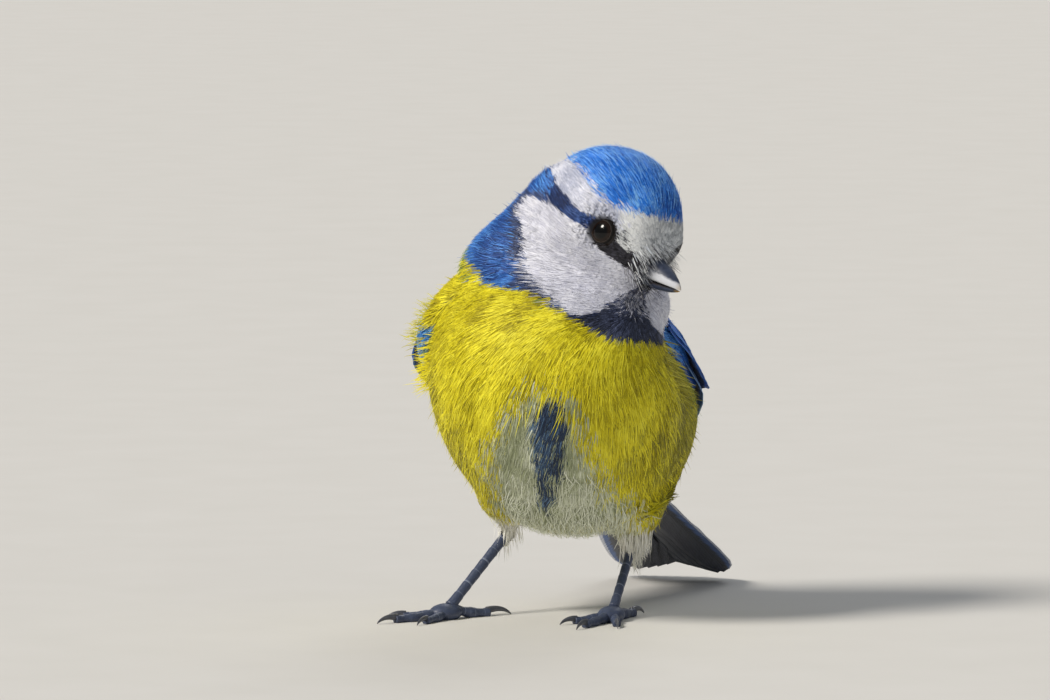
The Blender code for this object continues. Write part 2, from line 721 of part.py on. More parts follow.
def make_leg(word, trunk):
    """Feathered thigh, scaled tarsus with the sole, and four toes with claws."""
    knee, ankle, joint = (Vector(place[word]) for place in (KNEES, ANKLES, FOOT_JOINTS))
    down = (joint - ankle).normalized()
    sock = [knee, knee.lerp(ankle, 0.5), knee.lerp(ankle, 0.85), ankle + down * 1.2, ankle + down * 4.6]
    thigh = tube(sock, THIGH_RADII[word], f"thigh_{word}", sides=14)
    cut_clear(thigh, trunk)

    points, radii = [], []
    steps = 2 * SCUTES
    for i in range(steps + 1):
        share = i / steps
        scute = SCUTE_STEP * (1 - (share * SCUTES) % 1)
        heel = HEEL_SWELL * max(0.0, (share - 0.8) / 0.2) ** 2
        points.append(ankle.lerp(joint, share))
        radii.append(TARSUS_THICK / 2 * (0.98 + scute + heel))
    shank = tube(points, radii, "shank", sides=10, flatten=0.85)
    yaw = FOOT_YAWS[word]
    foot = frame((joint.x, joint.y, PALM_RISE), yaw, 0)
    sole = ball(foot.at(PALM_AHEAD, 0, 0), PALM_RADII, "sole", foot, 16, 10)
    tarsus = fuse([sole, shank], f"tarsus_{word}")
    cut_clear(tarsus, [thigh])
    on_floor(tarsus)
    made = [thigh, tarsus]
    for name in TOES:
        made += make_toe(word, name, joint, yaw, tarsus)
    return made


def paint(obj):
    """Gives the object the plain colour of its kind."""
    kind = obj.name.split("_")[0]
    kind = {"toe": "leg", "tarsus": "leg"}.get(kind, kind)
    material = bpy.data.materials.get(kind)
    if material is None:
        material = bpy.data.materials.new(kind)
        material.use_nodes = True
        surface = material.node_tree.nodes["Principled BSDF"]
        surface.inputs["Base Color"].default_value = (*COLOURS[kind], 1.0)
        surface.inputs["Roughness"].default_value = ROUGHNESS.get(kind, 0.8)
        surface.inputs["Metallic"].default_value = 0.0
    obj.data.materials.clear()
    obj.data.materials.append(material)


def set_down(nodes, bird):
    """Puts the origin under the middle of the bird, and scales the meshes to metres."""
    points = [v.co for obj in nodes for v in obj.data.vertices]
    low = Vector([min(p[i] for p in points) for i in range(3)])
    high = Vector([max(p[i] for p in points) for i in range(3)])
    middle = Vector(((low.x + high.x) / 2, (low.y + high.y) / 2, low.z))
    place = Matrix.Scale(METRES_PER_MM, 4) @ Matrix.Translation(-middle)
    for obj in nodes:
        obj.data.transform(place)
        obj.data.shade_smooth()
        obj.data.set_sharp_from_angle(angle=math.radians(CREASE_ANGLE))
        bpy.context.scene.collection.objects.unlink(obj)
        bird.objects.link(obj)
    print("middle of the bird:", [round(v, 3) for v in middle])


def main():
    clear_scene()
    bird = collection_named("blue tit")
    form, head, neck, torso, rump, coverts = make_trunk()
    head, eyes = make_eyes(head)
    nodes = [neck, torso, rump, *eyes]
    nodes += make_bill()
    tail = make_tail(coverts, rump)
    on_floor(tail)
    wings = [make_wing(1, "left"), make_wing(-1, "right")]
    sheath = tail_sheath()
    for wing in wings:
        cut_clear(wing, [form, sheath])
    bpy.data.objects.remove(sheath)
    legs = make_leg("left", [form]) + make_leg("right", [form])
    bpy.data.objects.remove(form)
    nodes += [head, tail, *wings, *legs]
    for obj in nodes:
        paint(obj)
    set_down(nodes, bird)


main()
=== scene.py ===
"""A life-size blue tit standing on a pale studio floor: the finish and the feathers.

Shapes are worked out in millimetres in the bird's own posture, and turned to the model's metres
when a mesh is made. +Z is up, the breast faces -Y, and the bird's left side is towards +X.
"""

import logging
import math
from dataclasses import dataclass, field, fields
from enum import Enum
from typing import Callable, Sequence

import bpy
import numpy as np
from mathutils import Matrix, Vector
from mathutils.bvhtree import BVHTree


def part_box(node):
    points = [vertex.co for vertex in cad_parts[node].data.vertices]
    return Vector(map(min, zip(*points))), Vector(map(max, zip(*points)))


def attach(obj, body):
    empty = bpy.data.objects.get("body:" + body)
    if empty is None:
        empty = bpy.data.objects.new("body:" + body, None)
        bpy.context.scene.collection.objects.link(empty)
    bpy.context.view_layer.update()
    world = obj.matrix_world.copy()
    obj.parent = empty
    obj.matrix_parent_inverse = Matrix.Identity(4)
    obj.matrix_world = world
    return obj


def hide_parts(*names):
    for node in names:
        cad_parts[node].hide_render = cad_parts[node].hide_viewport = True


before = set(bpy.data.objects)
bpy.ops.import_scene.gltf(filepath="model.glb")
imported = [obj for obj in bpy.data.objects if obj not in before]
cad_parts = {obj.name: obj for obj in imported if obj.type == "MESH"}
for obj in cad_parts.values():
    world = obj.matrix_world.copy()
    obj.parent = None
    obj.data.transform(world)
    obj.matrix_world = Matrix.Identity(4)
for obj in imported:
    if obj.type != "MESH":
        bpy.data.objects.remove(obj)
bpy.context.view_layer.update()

Array = np.ndarray
Stations = Sequence[Sequence[float]]

MM_PER_METRE = 1000.0
SEED = 20260


class Side(Enum):
    """Which half of the bird; the value is the sign of the direction to its left."""

    LEFT = 1
    RIGHT = -1

    @property
    def word(self) -> str:
        """The side's name as the model's nodes spell it."""
        return self.name.lower()


# ---------------------------------------------------------------------------- shape helpers


def unit(vectors: Array) -> Array:
    """Scales vectors to length one.

    Args:
        vectors: one vector or rows of vectors.

    Returns:
        The same directions with length one.
    """
    size = np.linalg.norm(vectors, axis=-1, keepdims=True)
    return vectors / np.maximum(size, 1e-9)


def level(vectors: Array, normals: Array) -> Array:
    """Turns directions to lie level with a surface, and scales them to length one."""
    return unit(vectors - normals * np.sum(vectors * normals, axis=-1, keepdims=True))


def gap_to(points: Array, places: Sequence[Sequence[float]]) -> Array:
    """Gives how far points are from the nearest of some places."""
    return np.min([np.linalg.norm(points - np.array(p), axis=1) for p in places], axis=0)


def along_curve(stations: Stations, places: Array) -> Array:
    """Reads a smooth curve through rows whose first number is their own place.

    Args:
        stations: rows of (place, value, value ...), with rising places.
        places: where the curve is read.

    Returns:
        The values, with one more axis than places.
    """
    rows = np.asarray(stations, float)
    places = np.asarray(places, float)
    last = len(rows) - 1
    i = np.clip(np.searchsorted(rows[:, 0], places, side="left") - 1, 0, last - 1)
    before, start, end, after = (rows[np.clip(i + k, 0, last)] for k in (-1, 0, 1, 2))
    span = (end[..., :1] - start[..., :1])
    t = np.clip((places[..., None] - start[..., :1]) / span, 0.0, 1.0)
    slope_in = (end - before)[..., 1:] / (end - before)[..., :1] * span
    slope_out = (after - start)[..., 1:] / (after - start)[..., :1] * span
    value = (2 * t**3 - 3 * t**2 + 1) * start[..., 1:] + (t**3 - 2 * t**2 + t) * slope_in
    return value + (3 * t**2 - 2 * t**3) * end[..., 1:] + (t**3 - t**2) * slope_out


def on_line(places: Array, stations: Stations) -> Array:
    """Reads a straight-sided curve given as (place, value) pairs."""
    rows = np.asarray(stations, float)
    return np.interp(places, rows[:, 0], rows[:, 1])


def edge(inside: Array, soft: float) -> Array:
    """Turns a signed distance to a mask that rises from 0 to 1 over twice the softness."""
    return np.clip(0.5 + np.asarray(inside, float) / (2 * soft), 0.0, 1.0)


def swirl(points: Array, wavelength: float, seed: int) -> Array:
    """Gives smooth waves over space.

    Args:
        points: places in millimetres.
        wavelength: the usual distance between crests, in millimetres.
        seed: picks the directions of the waves.

    Returns:
        Values of about -1 to 1.
    """
    dice = np.random.default_rng(seed)
    total = np.zeros(len(points))
    for _ in range(5):
        heading = unit(dice.normal(size=3)) * (2 * math.pi / wavelength) * dice.uniform(0.6, 1.6)
        total += np.sin(points @ heading + dice.uniform(0, 2 * math.pi))
    return total / 2.6


@dataclass(frozen=True)
class Axes:
    """A place with its own forward, left and up directions."""

    origin: Array
    forward: Array
    left: Array
    up: Array

    @classmethod
    def turned(cls, origin: Sequence[float], yaw: float, pitch: float, roll: float = 0.0) -> "Axes":
        """Makes axes from angles.

        Args:
            origin: the place.
            yaw: degrees from -Y towards +X.
            pitch: degrees up from level.
            roll: degrees that the top tips to the left.

        Returns:
            The turned axes.
        """
        y, p, r = (math.radians(v) for v in (yaw, pitch, roll))
        forward = np.array((math.sin(y) * math.cos(p), -math.cos(y) * math.cos(p), math.sin(p)))
        level_left = np.array((math.cos(y), math.sin(y), 0.0))
        level_up = np.cross(forward, level_left)
        left = level_left * math.cos(r) - level_up * math.sin(r)
        return cls(np.array(origin, float), forward, left, np.cross(forward, left))

    def at(self, along: Array, side: Array, rise: Array) -> Array:
        """Gives the place at these distances along the three directions."""
        along, side, rise = (np.asarray(v, float)[..., None] for v in (along, side, rise))
        return self.origin + self.forward * along + self.left * side + self.up * rise

    def local(self, points: Array) -> Array:
        """Gives the distances of places along the three directions."""
        away = np.asarray(points, float) - self.origin
        return np.stack([away @ self.forward, away @ self.left, away @ self.up], axis=-1)

    def direction(self, along: float, side: float, rise: float) -> Array:
        """Gives a direction of length one from its three parts."""
        return unit(self.forward * along + self.left * side + self.up * rise)


@dataclass(frozen=True)
class Posture:
    """Where the bird's masses are, in millimetres, and how the model's metres relate to them."""

    body: Axes = field(default_factory=lambda: Axes.turned((0.8, 0.0, 35.5), -12.0, 31.0))
    head: Axes = field(default_factory=lambda: Axes.turned((8.6, -13.0, 66.1), 44.0, -23.0, 11.0))
    tail: Axes = field(default_factory=lambda: Axes.turned((5.0, 19.0, 25.6), 160.0, -29.0))
    eye: tuple[float, float, float] = (5.15, 6.4, -1.1)
    eye_out: tuple[float, float, float] = (0.18, 0.98, 0.06)
    bill_start: float = 12.02
    bill_rise: float = -4.2
    eye_surface: float = 1.9  # how far out from an eyeball's centre the lids lie

    def eye_centre(self, side: Side) -> Array:
        """Gives the centre of an eyeball."""
        return self.head.at(self.eye[0], side.value * self.eye[1], self.eye[2])

    def eye_axis(self, side: Side) -> Array:
        """Gives the direction in which an eye looks."""
        return self.head.direction(self.eye_out[0], side.value * self.eye_out[1], self.eye_out[2])

    def eye_gap(self, points: Array, out: float = eye_surface) -> Array:
        """Gives how far places are from the nearer eye, this far out from its centre."""
        return gap_to(points, [self.eye_centre(side) + self.eye_axis(side) * out for side in Side])

    def middle(self) -> Array:
        """Gives the place in millimetres of the model's origin, found from the left eye's node.

        Returns:
            The place.
        """
        low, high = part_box("eye_left")
        centre = (np.array(low) + np.array(high)) / 2 * MM_PER_METRE
        return self.eye_centre(Side.LEFT) - centre


POSTURE = Posture()
MIDDLE = POSTURE.middle()


def to_metres(points: Array) -> Array:
    """Turns places in the bird's millimetres to the model's metres."""
    return (points - MIDDLE) / MM_PER_METRE


def to_millimetres(points: Array) -> Array:
    """Turns places in the model's metres to the bird's millimetres."""
    return points * MM_PER_METRE + MIDDLE


# ---------------------------------------------------------------------------- mesh helpers


def mesh_object(name: str, points: Array, faces: Array, smooth: bool = True) -> bpy.types.Object:
    """Makes an object from arrays.

    Args:
        name: the piece's name.
        points: places in millimetres, one row each.
        faces: rows of point numbers, all of one length.
        smooth: whether the faces are shaded as one smooth surface.

    Returns:
        The object, linked to the scene, in metres.
    """
    mesh = bpy.data.meshes.new(name)
    mesh.vertices.add(len(points))
    mesh.vertices.foreach_set("co", to_metres(points).astype(np.float32).ravel())
    mesh.loops.add(faces.size)
    mesh.loops.foreach_set("vertex_index", faces.astype(np.int32).ravel())
    mesh.polygons.add(len(faces))
    starts = np.arange(0, faces.size, faces.shape[1], dtype=np.int32)
    mesh.polygons.foreach_set("loop_start", starts)
    mesh.update(calc_edges=True)
    (mesh.shade_smooth if smooth else mesh.shade_flat)()
    obj = bpy.data.objects.new(name, mesh)
    bpy.context.scene.collection.objects.link(obj)
    return obj


def read(items: object, key: str, width: int, kind: type = np.float32) -> Array:
    """Reads a property of all points, loops or triangles of a mesh.

    Args:
        items: the mesh's points, loops or triangles.
        key: the property's name.
        width: how many numbers it has.
        kind: the kind of its numbers.

    Returns:
        One row for each item.
    """
    values = np.zeros(len(items) * width, kind)
    items.foreach_get(key, values)
    return values.reshape(-1, width)


def points_of(obj: bpy.types.Object) -> Array:
    """Gives the places of an object's points in millimetres."""
    return to_millimetres(read(obj.data.vertices, "co", 3).astype(float))


def mark(obj: bpy.types.Object, name: str, values: Array) -> None:
    """Stores up to three numbers at each point of a mesh for its material to read.

    Args:
        obj: the piece.
        name: what the material knows the numbers by.
        values: a number or a row of numbers for each point.
    """
    rows = values.reshape(len(values), -1)
    vectors = np.zeros((len(rows), 3), np.float32)
    vectors[:, : rows.shape[1]] = rows
    layer = obj.data.attributes.new(name=name, type="FLOAT_VECTOR", domain="POINT")
    layer.data.foreach_set("vector", vectors.ravel())


def tint(obj: bpy.types.Object, colours: Array) -> None:
    """Stores the plumage colour at each point of a mesh.

    Args:
        obj: the piece.
        colours: linear red, green and blue.
    """
    layer = obj.data.color_attributes.new(name="plumage", type="FLOAT_COLOR", domain="POINT")
    with_alpha = np.concatenate([colours, np.ones((len(colours), 1))], axis=1)
    layer.data.foreach_set("color", with_alpha.astype(np.float32).ravel())


def lay_out(obj: bpy.types.Object, spots: Array, faces: Array) -> None:
    """Gives each point of a mesh its place on the unwrap named OFBake, for the finishes."""
    layer = obj.data.uv_layers.new(name="OFBake")
    layer.uv.foreach_set("vector", spots[faces.ravel()].astype(np.float32).ravel())


def settle(obj: bpy.types.Object, slot: str, *nodes: str) -> None:
    """Tells the frame of a finished piece, and reports it.

    Args:
        obj: the piece.
        slot: the record's slot that it is finished as; it is not used.
        nodes: the model's nodes that it stands for.
    """
    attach(obj, "root")
    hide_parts(*nodes)
    logging.info("%s: %d faces", obj.name, len(obj.data.polygons))


def applied(obj: bpy.types.Object) -> None:
    """Replaces an object's mesh by what its modifiers make of it.

    Args:
        obj: the piece.
    """
    bpy.context.view_layer.update()
    graph = bpy.context.evaluated_depsgraph_get()
    mesh = bpy.data.meshes.new_from_object(obj.evaluated_get(graph))
    obj.modifiers.clear()
    obj.data = mesh


@dataclass
class MeshParts:
    """Points, faces and marks of many small shapes that become one piece."""

    points: list[Array] = field(default_factory=list)
    faces: list[Array] = field(default_factory=list)
    marks: dict[str, list[Array]] = field(default_factory=dict)
    count: int = 0

    def add(self, points: Array, faces: Array, **marks: Array) -> None:
        """Adds one shape and the vectors marked at its points.

        Args:
            points: places in millimetres.
            faces: rows of point numbers.
            marks: for each name, a row of numbers at each point.
        """
        self.points.append(points)
        self.faces.append(faces + self.count)
        self.count += len(points)
        for name, values in marks.items():
            self.marks.setdefault(name, []).append(values)

    def build(self, name: str, smooth: bool = True) -> bpy.types.Object:
        """Joins the shapes to one object.

        Args:
            name: the piece's name.
            smooth: whether it is shaded as one smooth surface.

        Returns:
            What is made.
        """
        made = mesh_object(name, np.concatenate(self.points), np.concatenate(self.faces), smooth)
        for mark_name, values in self.marks.items():
            mark(made, mark_name, np.concatenate(values))
        return made


def ring_faces(rings: int, sides: int) -> Array:
    """Gives the quads between equal rings of points, ring after ring.

    Args:
        rings: how many there are.
        sides: how many points each ring has.

    Returns:
        Rows of four point numbers.
    """
    i, k = np.meshgrid(np.arange(rings - 1), np.arange(sides), indexing="ij")
    a, b = i * sides + k, i * sides + (k + 1) % sides
    return np.stack([a, b, b + sides, a + sides], axis=-1).reshape(-1, 4)


def closed_tube(rings: Array) -> tuple[Array, Array]:
    """Closes rings of points to a solid with a point at the middle of each end.

    Args:
        rings: an array of rings, sides and coordinates.

    Returns:
        The points and the quads; at the ends two corners of each quad fall together in pairs.
    """
    sides = rings.shape[1]
    shrink = np.linspace(0.5, 0.02, 2)
    first = [rings[0].mean(0) + (rings[0] - rings[0].mean(0)) * s for s in shrink[::-1]]
    last = [rings[-1].mean(0) + (rings[-1] - rings[-1].mean(0)) * s for s in shrink]
    full = np.concatenate([np.array(first), rings, np.array(last)])
    caps = []
    for base, turn in ((0, -1), ((len(full) - 1) * sides, 1)):
        for k in range(1, sides // 2):
            quad = [base + k - 1, base + k, base + sides - k - 1, base + (sides - k) % sides]
            caps.append(quad[::turn])
    return full.reshape(-1, 3), np.concatenate([ring_faces(len(full), sides), np.array(caps)])


def with_ends(values: Array) -> Array:
    """Repeats the values of the first and last rings for those that close a tube."""
    return np.concatenate([values[:1]] * 2 + [values] + [values[-1:]] * 2)


def grid_starts(rows: int, columns: int) -> Array:
    """Gives the first point of each quad in a grid of points."""
    return (np.arange(rows - 1)[:, None] * columns + np.arange(columns - 1)).ravel()


def closed_sheet(top: Array, under: Array, flipped: bool = False) -> tuple[Array, Array]:
    """Joins two grids of points to a closed sheet.

    Args:
        top: rows, columns and coordinates of the outer side.
        under: the same of the inner side.
        flipped: whether the faces turn the other way round.

    Returns:
        The points and the quads: those of the outer side, the rim and the inner side.
    """
    rows, columns = top.shape[:2]
    a, offset = grid_starts(rows, columns), rows * columns
    upper = np.stack([a, a + 1, a + columns + 1, a + columns], axis=1)
    index = np.arange(offset).reshape(rows, columns)
    rim = np.concatenate([index[0], index[1:, -1], index[-1, -2::-1], index[-2:0:-1, 0]])
    following = np.roll(rim, -1)
    sides = np.stack([rim + offset, following + offset, following, rim], axis=1)
    if flipped:
        upper, sides = upper[:, ::-1], sides[:, ::-1]
    points = np.concatenate([top.reshape(-1, 3), under.reshape(-1, 3)])
    return points, np.concatenate([upper, sides, upper[:, ::-1] + offset])


def tube_rings(path: Array, radii: Array, sides: int, flatten: float = 1.0) -> Array:
    """Puts a ring of points round each point of a path.

    Args:
        path: the places, one row each.
        radii: the radius at each place.
        sides: how many points each ring has.
        flatten: the share of the radius that is kept sideways.

    Returns:
        An array of rings, sides and coordinates.
    """
    rings = []
    across = unit(np.cross(path[1] - path[0], (0.0, 0.0, 1.0)))
    angles = 2 * math.pi * (np.arange(sides) + 0.5) / sides
    for i, (point, radius) in enumerate(zip(path, radii)):
        ahead = unit(path[min(i + 1, len(path) - 1)] - path[max(i - 1, 0)])
        across = unit(across - ahead * (across @ ahead))
        over = np.cross(across, ahead)
        out = np.outer(np.cos(angles) * flatten, across) + np.outer(np.sin(angles), over)
        rings.append(point + out * radius)
    return np.array(rings)


# ---------------------------------------------------------------------------- finishes


def linear(hex_colour: str) -> Array:
    """Turns an sRGB hex colour to linear light.

    Args:
        hex_colour: six hex digits after a hash sign.

    Returns:
        Red, green and blue.
    """
    parts = np.array([int(hex_colour[k : k + 2], 16) for k in (1, 3, 5)]) / 255
    return np.where(parts <= 0.04045, parts / 12.92, ((parts + 0.055) / 1.055) ** 2.4)


def rgba(hex_colour: str) -> tuple[float, float, float, float]:
    """Gives a linear colour with full opacity, as a socket takes it."""
    return (*(float(v) for v in linear(hex_colour)), 1.0)


def scale_for(size_mm: float) -> float:
    """Gives a pattern's scale in the model's metres from its real size in millimetres."""
    return MM_PER_METRE / size_mm


class Finish:
    """A material in the making: nodes that end at one surface."""

    def __init__(self, name: str, **values: object) -> None:
        """Starts a material from plain values of its surface.

        Args:
            name: the real finish it stands for.
            values: surface inputs, with spaces written as underscores.
        """
        self.material = bpy.data.materials.new(name)
        self.material.use_nodes = True
        self.tree = self.material.node_tree
        self.surface = self.tree.nodes["Principled BSDF"]
        for key, value in values.items():
            self.surface.inputs[key.replace("_", " ")].default_value = value

    def add(
        self, kind: str, inputs: dict | tuple = (), out: int | str = 0, **settings: object
    ) -> bpy.types.NodeSocket:
        """Adds a node with its settings and links.

        Args:
            kind: the node's type, without the words that all types start with.
            inputs: values or other nodes' sockets, in order, or by input name or number.
            out: which output is wanted.
            settings: the node's own options.

        Returns:
            The socket of that output.
        """
        node = self.tree.nodes.new(f"ShaderNode{kind}")
        for name, value in settings.items():
            setattr(node, name, value)
        pairs = inputs.items() if isinstance(inputs, dict) else enumerate(inputs)
        for key, value in pairs:
            if isinstance(value, bpy.types.NodeSocket):
                self.tree.links.new(value, node.inputs[key])
            else:
                node.inputs[key].default_value = value
        return node.outputs[out]

    def end(self, **links: object) -> bpy.types.Material:
        """Links sockets to inputs of the surface, and gives the material.

        Args:
            links: sockets, with spaces written as underscores.

        Returns:
            The material.
        """
        for key, socket in links.items():
            self.tree.links.new(socket, self.surface.inputs[key.replace("_", " ")])
        return self.material


def spotted_markings(
    made: Finish, spot_mm: float, detail: float, shades: tuple[float, float]
) -> tuple[bpy.types.NodeSocket, bpy.types.NodeSocket]:
    """Reads the markings' colour, and varies it in soft spots.

    Args:
        made: the material.
        spot_mm: how large the spots are.
        detail: how fine their edges are.
        shades: the darkest and the lightest spot, as shares of the colour.

    Returns:
        The sockets of the colour and of the spots.
    """
    colour = made.add("Attribute", out="Color", attribute_name="plumage")
    where = made.add("TexCoord", out="Object")
    spots = made.add("TexNoise", {"Vector": where, "Scale": scale_for(spot_mm), "Detail": detail})
    shade = made.add("MapRange", (spots, 0.3, 0.7, *shades))
    return made.add("HueSaturation", {"Color": colour, "Value": shade}), spots


@dataclass(frozen=True)
class Plumage:
    """Contour feathers: barbs of keratin, matt by pigment and a little silky by their lie.

    The fine lights and darks come from the feathers themselves, each a shade of its own.
    """

    name: str
    base: str
    dark: str
    light: str
    dark_share: float = 0.25
    light_share: float = 0.25
    roughness: float = 0.62
    sheen: float = 0.15
    wear_mm: float = 2.0  # wear and preening leave lighter and darker spots of this size

    def material(self) -> bpy.types.Material:
        """Makes the feathers' material, which takes its colour from the markings.

        Returns:
            The material.
        """
        made = Finish(
            self.name, Roughness=self.roughness, Specular_IOR_Level=0.35, Sheen_Weight=self.sheen,
            Sheen_Roughness=0.4, Sheen_Tint=rgba(self.light),
        )
        return made.end(Base_Color=spotted_markings(made, self.wear_mm, 2.0, (0.93, 1.07))[0])


@dataclass(frozen=True)
class FeatherBases:
    """Downy feather bases close to the skin: matt grown keratin in the colours of the markings."""

    down_mm: float = 0.5

    def material(self) -> bpy.types.Material:
        """Makes the skin's material, with the grain of the down.

        Returns:
            The material.
        """
        made = Finish("feather_bases_on_skin", Roughness=0.8, Specular_IOR_Level=0.2, Sheen_Weight=0.1)
        colour, grain = spotted_markings(made, self.down_mm, 3.0, (0.88, 1.0))
        bump = made.add("Bump", {"Height": grain, "Strength": 0.5, "Distance": 0.0002})
        return made.end(Base_Color=colour, Normal=bump)


class Patch(Enum):
    """The patches of the plumage, with their finishes."""

    BREAST = Plumage("carotene_yellow_feather", "#ddd006", "#988b02", "#f7ee3c", 0.24, 0.28)
    # Partly the flank's own olive and partly painted shade: a duller yellow low on the sides
    FLANK = Plumage("olive_yellow_feather_painted_shade", "#a29a18", "#67620e", "#d2cb4c", 0.28, 0.18)
    PALE = Plumage("down_grey_belly_feather", "#b3b996", "#858d66", "#eef1de", 0.22, 0.22)
    VENT = Plumage("cream_vent_feather", "#dedcae", "#a8a86c", "#f6f5da", 0.2, 0.25)
    BELLY_LINE = Plumage("slate_belly_feather", "#31486a", "#182234", "#6d90b2", 0.3, 0.24)
    MANTLE = Plumage("moss_green_mantle_feather", "#6f8644", "#46602f", "#9db06a", 0.25, 0.2)
    RUMP = Plumage("grey_green_rump_feather", "#93a04c", "#6b7a3c", "#bcc574", 0.25, 0.2)
    THIGH = Plumage("off_white_leg_feather", "#e9e7da", "#b8b5a0", "#fbfaf2", 0.25, 0.25)
    COLLAR = Plumage("indigo_collar_feather", "#35446c", "#1a2340", "#5b73a8", 0.3, 0.2, 0.5)
    NECK = Plumage("royal_blue_nape_feather", "#2360b8", "#122e68", "#64a6f0", 0.3, 0.26, 0.5)
    STRIPE = Plumage("navy_eye_stripe_feather", "#2a437c", "#172142", "#5272b4", 0.32, 0.18, 0.5)
    CHEEK = Plumage("white_cheek_feather", "#d8dae6", "#aeb0c2", "#f0f1fa", 0.24, 0.26)
    BAND = Plumage("white_brow_feather", "#c6cadb", "#9aa2ba", "#eaecf6", 0.24, 0.26)
    FOREHEAD = Plumage("grey_white_forehead_feather", "#d6dade", "#9fa5aa", "#f4f6f6", 0.24, 0.3)
    CAP = Plumage("azure_crown_feather", "#2180ea", "#0a45a4", "#90cdff", 0.28, 0.2, 0.5)
    BIB = Plumage("blue_black_bib_feather", "#363d54", "#161a28", "#656f90", 0.3, 0.22, 0.5)
    CHIN = Plumage("grey_chin_feather", "#a9acbc", "#5c6074", "#dcdde6", 0.3, 0.3)
    LORE = Plumage("black_lore_feather", "#1f1e24", "#0c0b0f", "#45444f", 0.4, 0.16, 0.5)
    COVERT = Plumage("cobalt_covert_feather", "#2c70d4", "#173f88", "#6cb2f6", 0.28, 0.24, 0.45)
    # Partly painted highlight: an azure paler than the coverts, for the lit edge of the right wing
    WING_EDGE = Plumage(
        "pale_azure_wing_edge_feather", "#58acf0", "#2a6cc0", "#b0e2ff", 0.24, 0.3, 0.45
    )


PATCHES = list(Patch)


# ---------------------------------------------------------------------------- markings


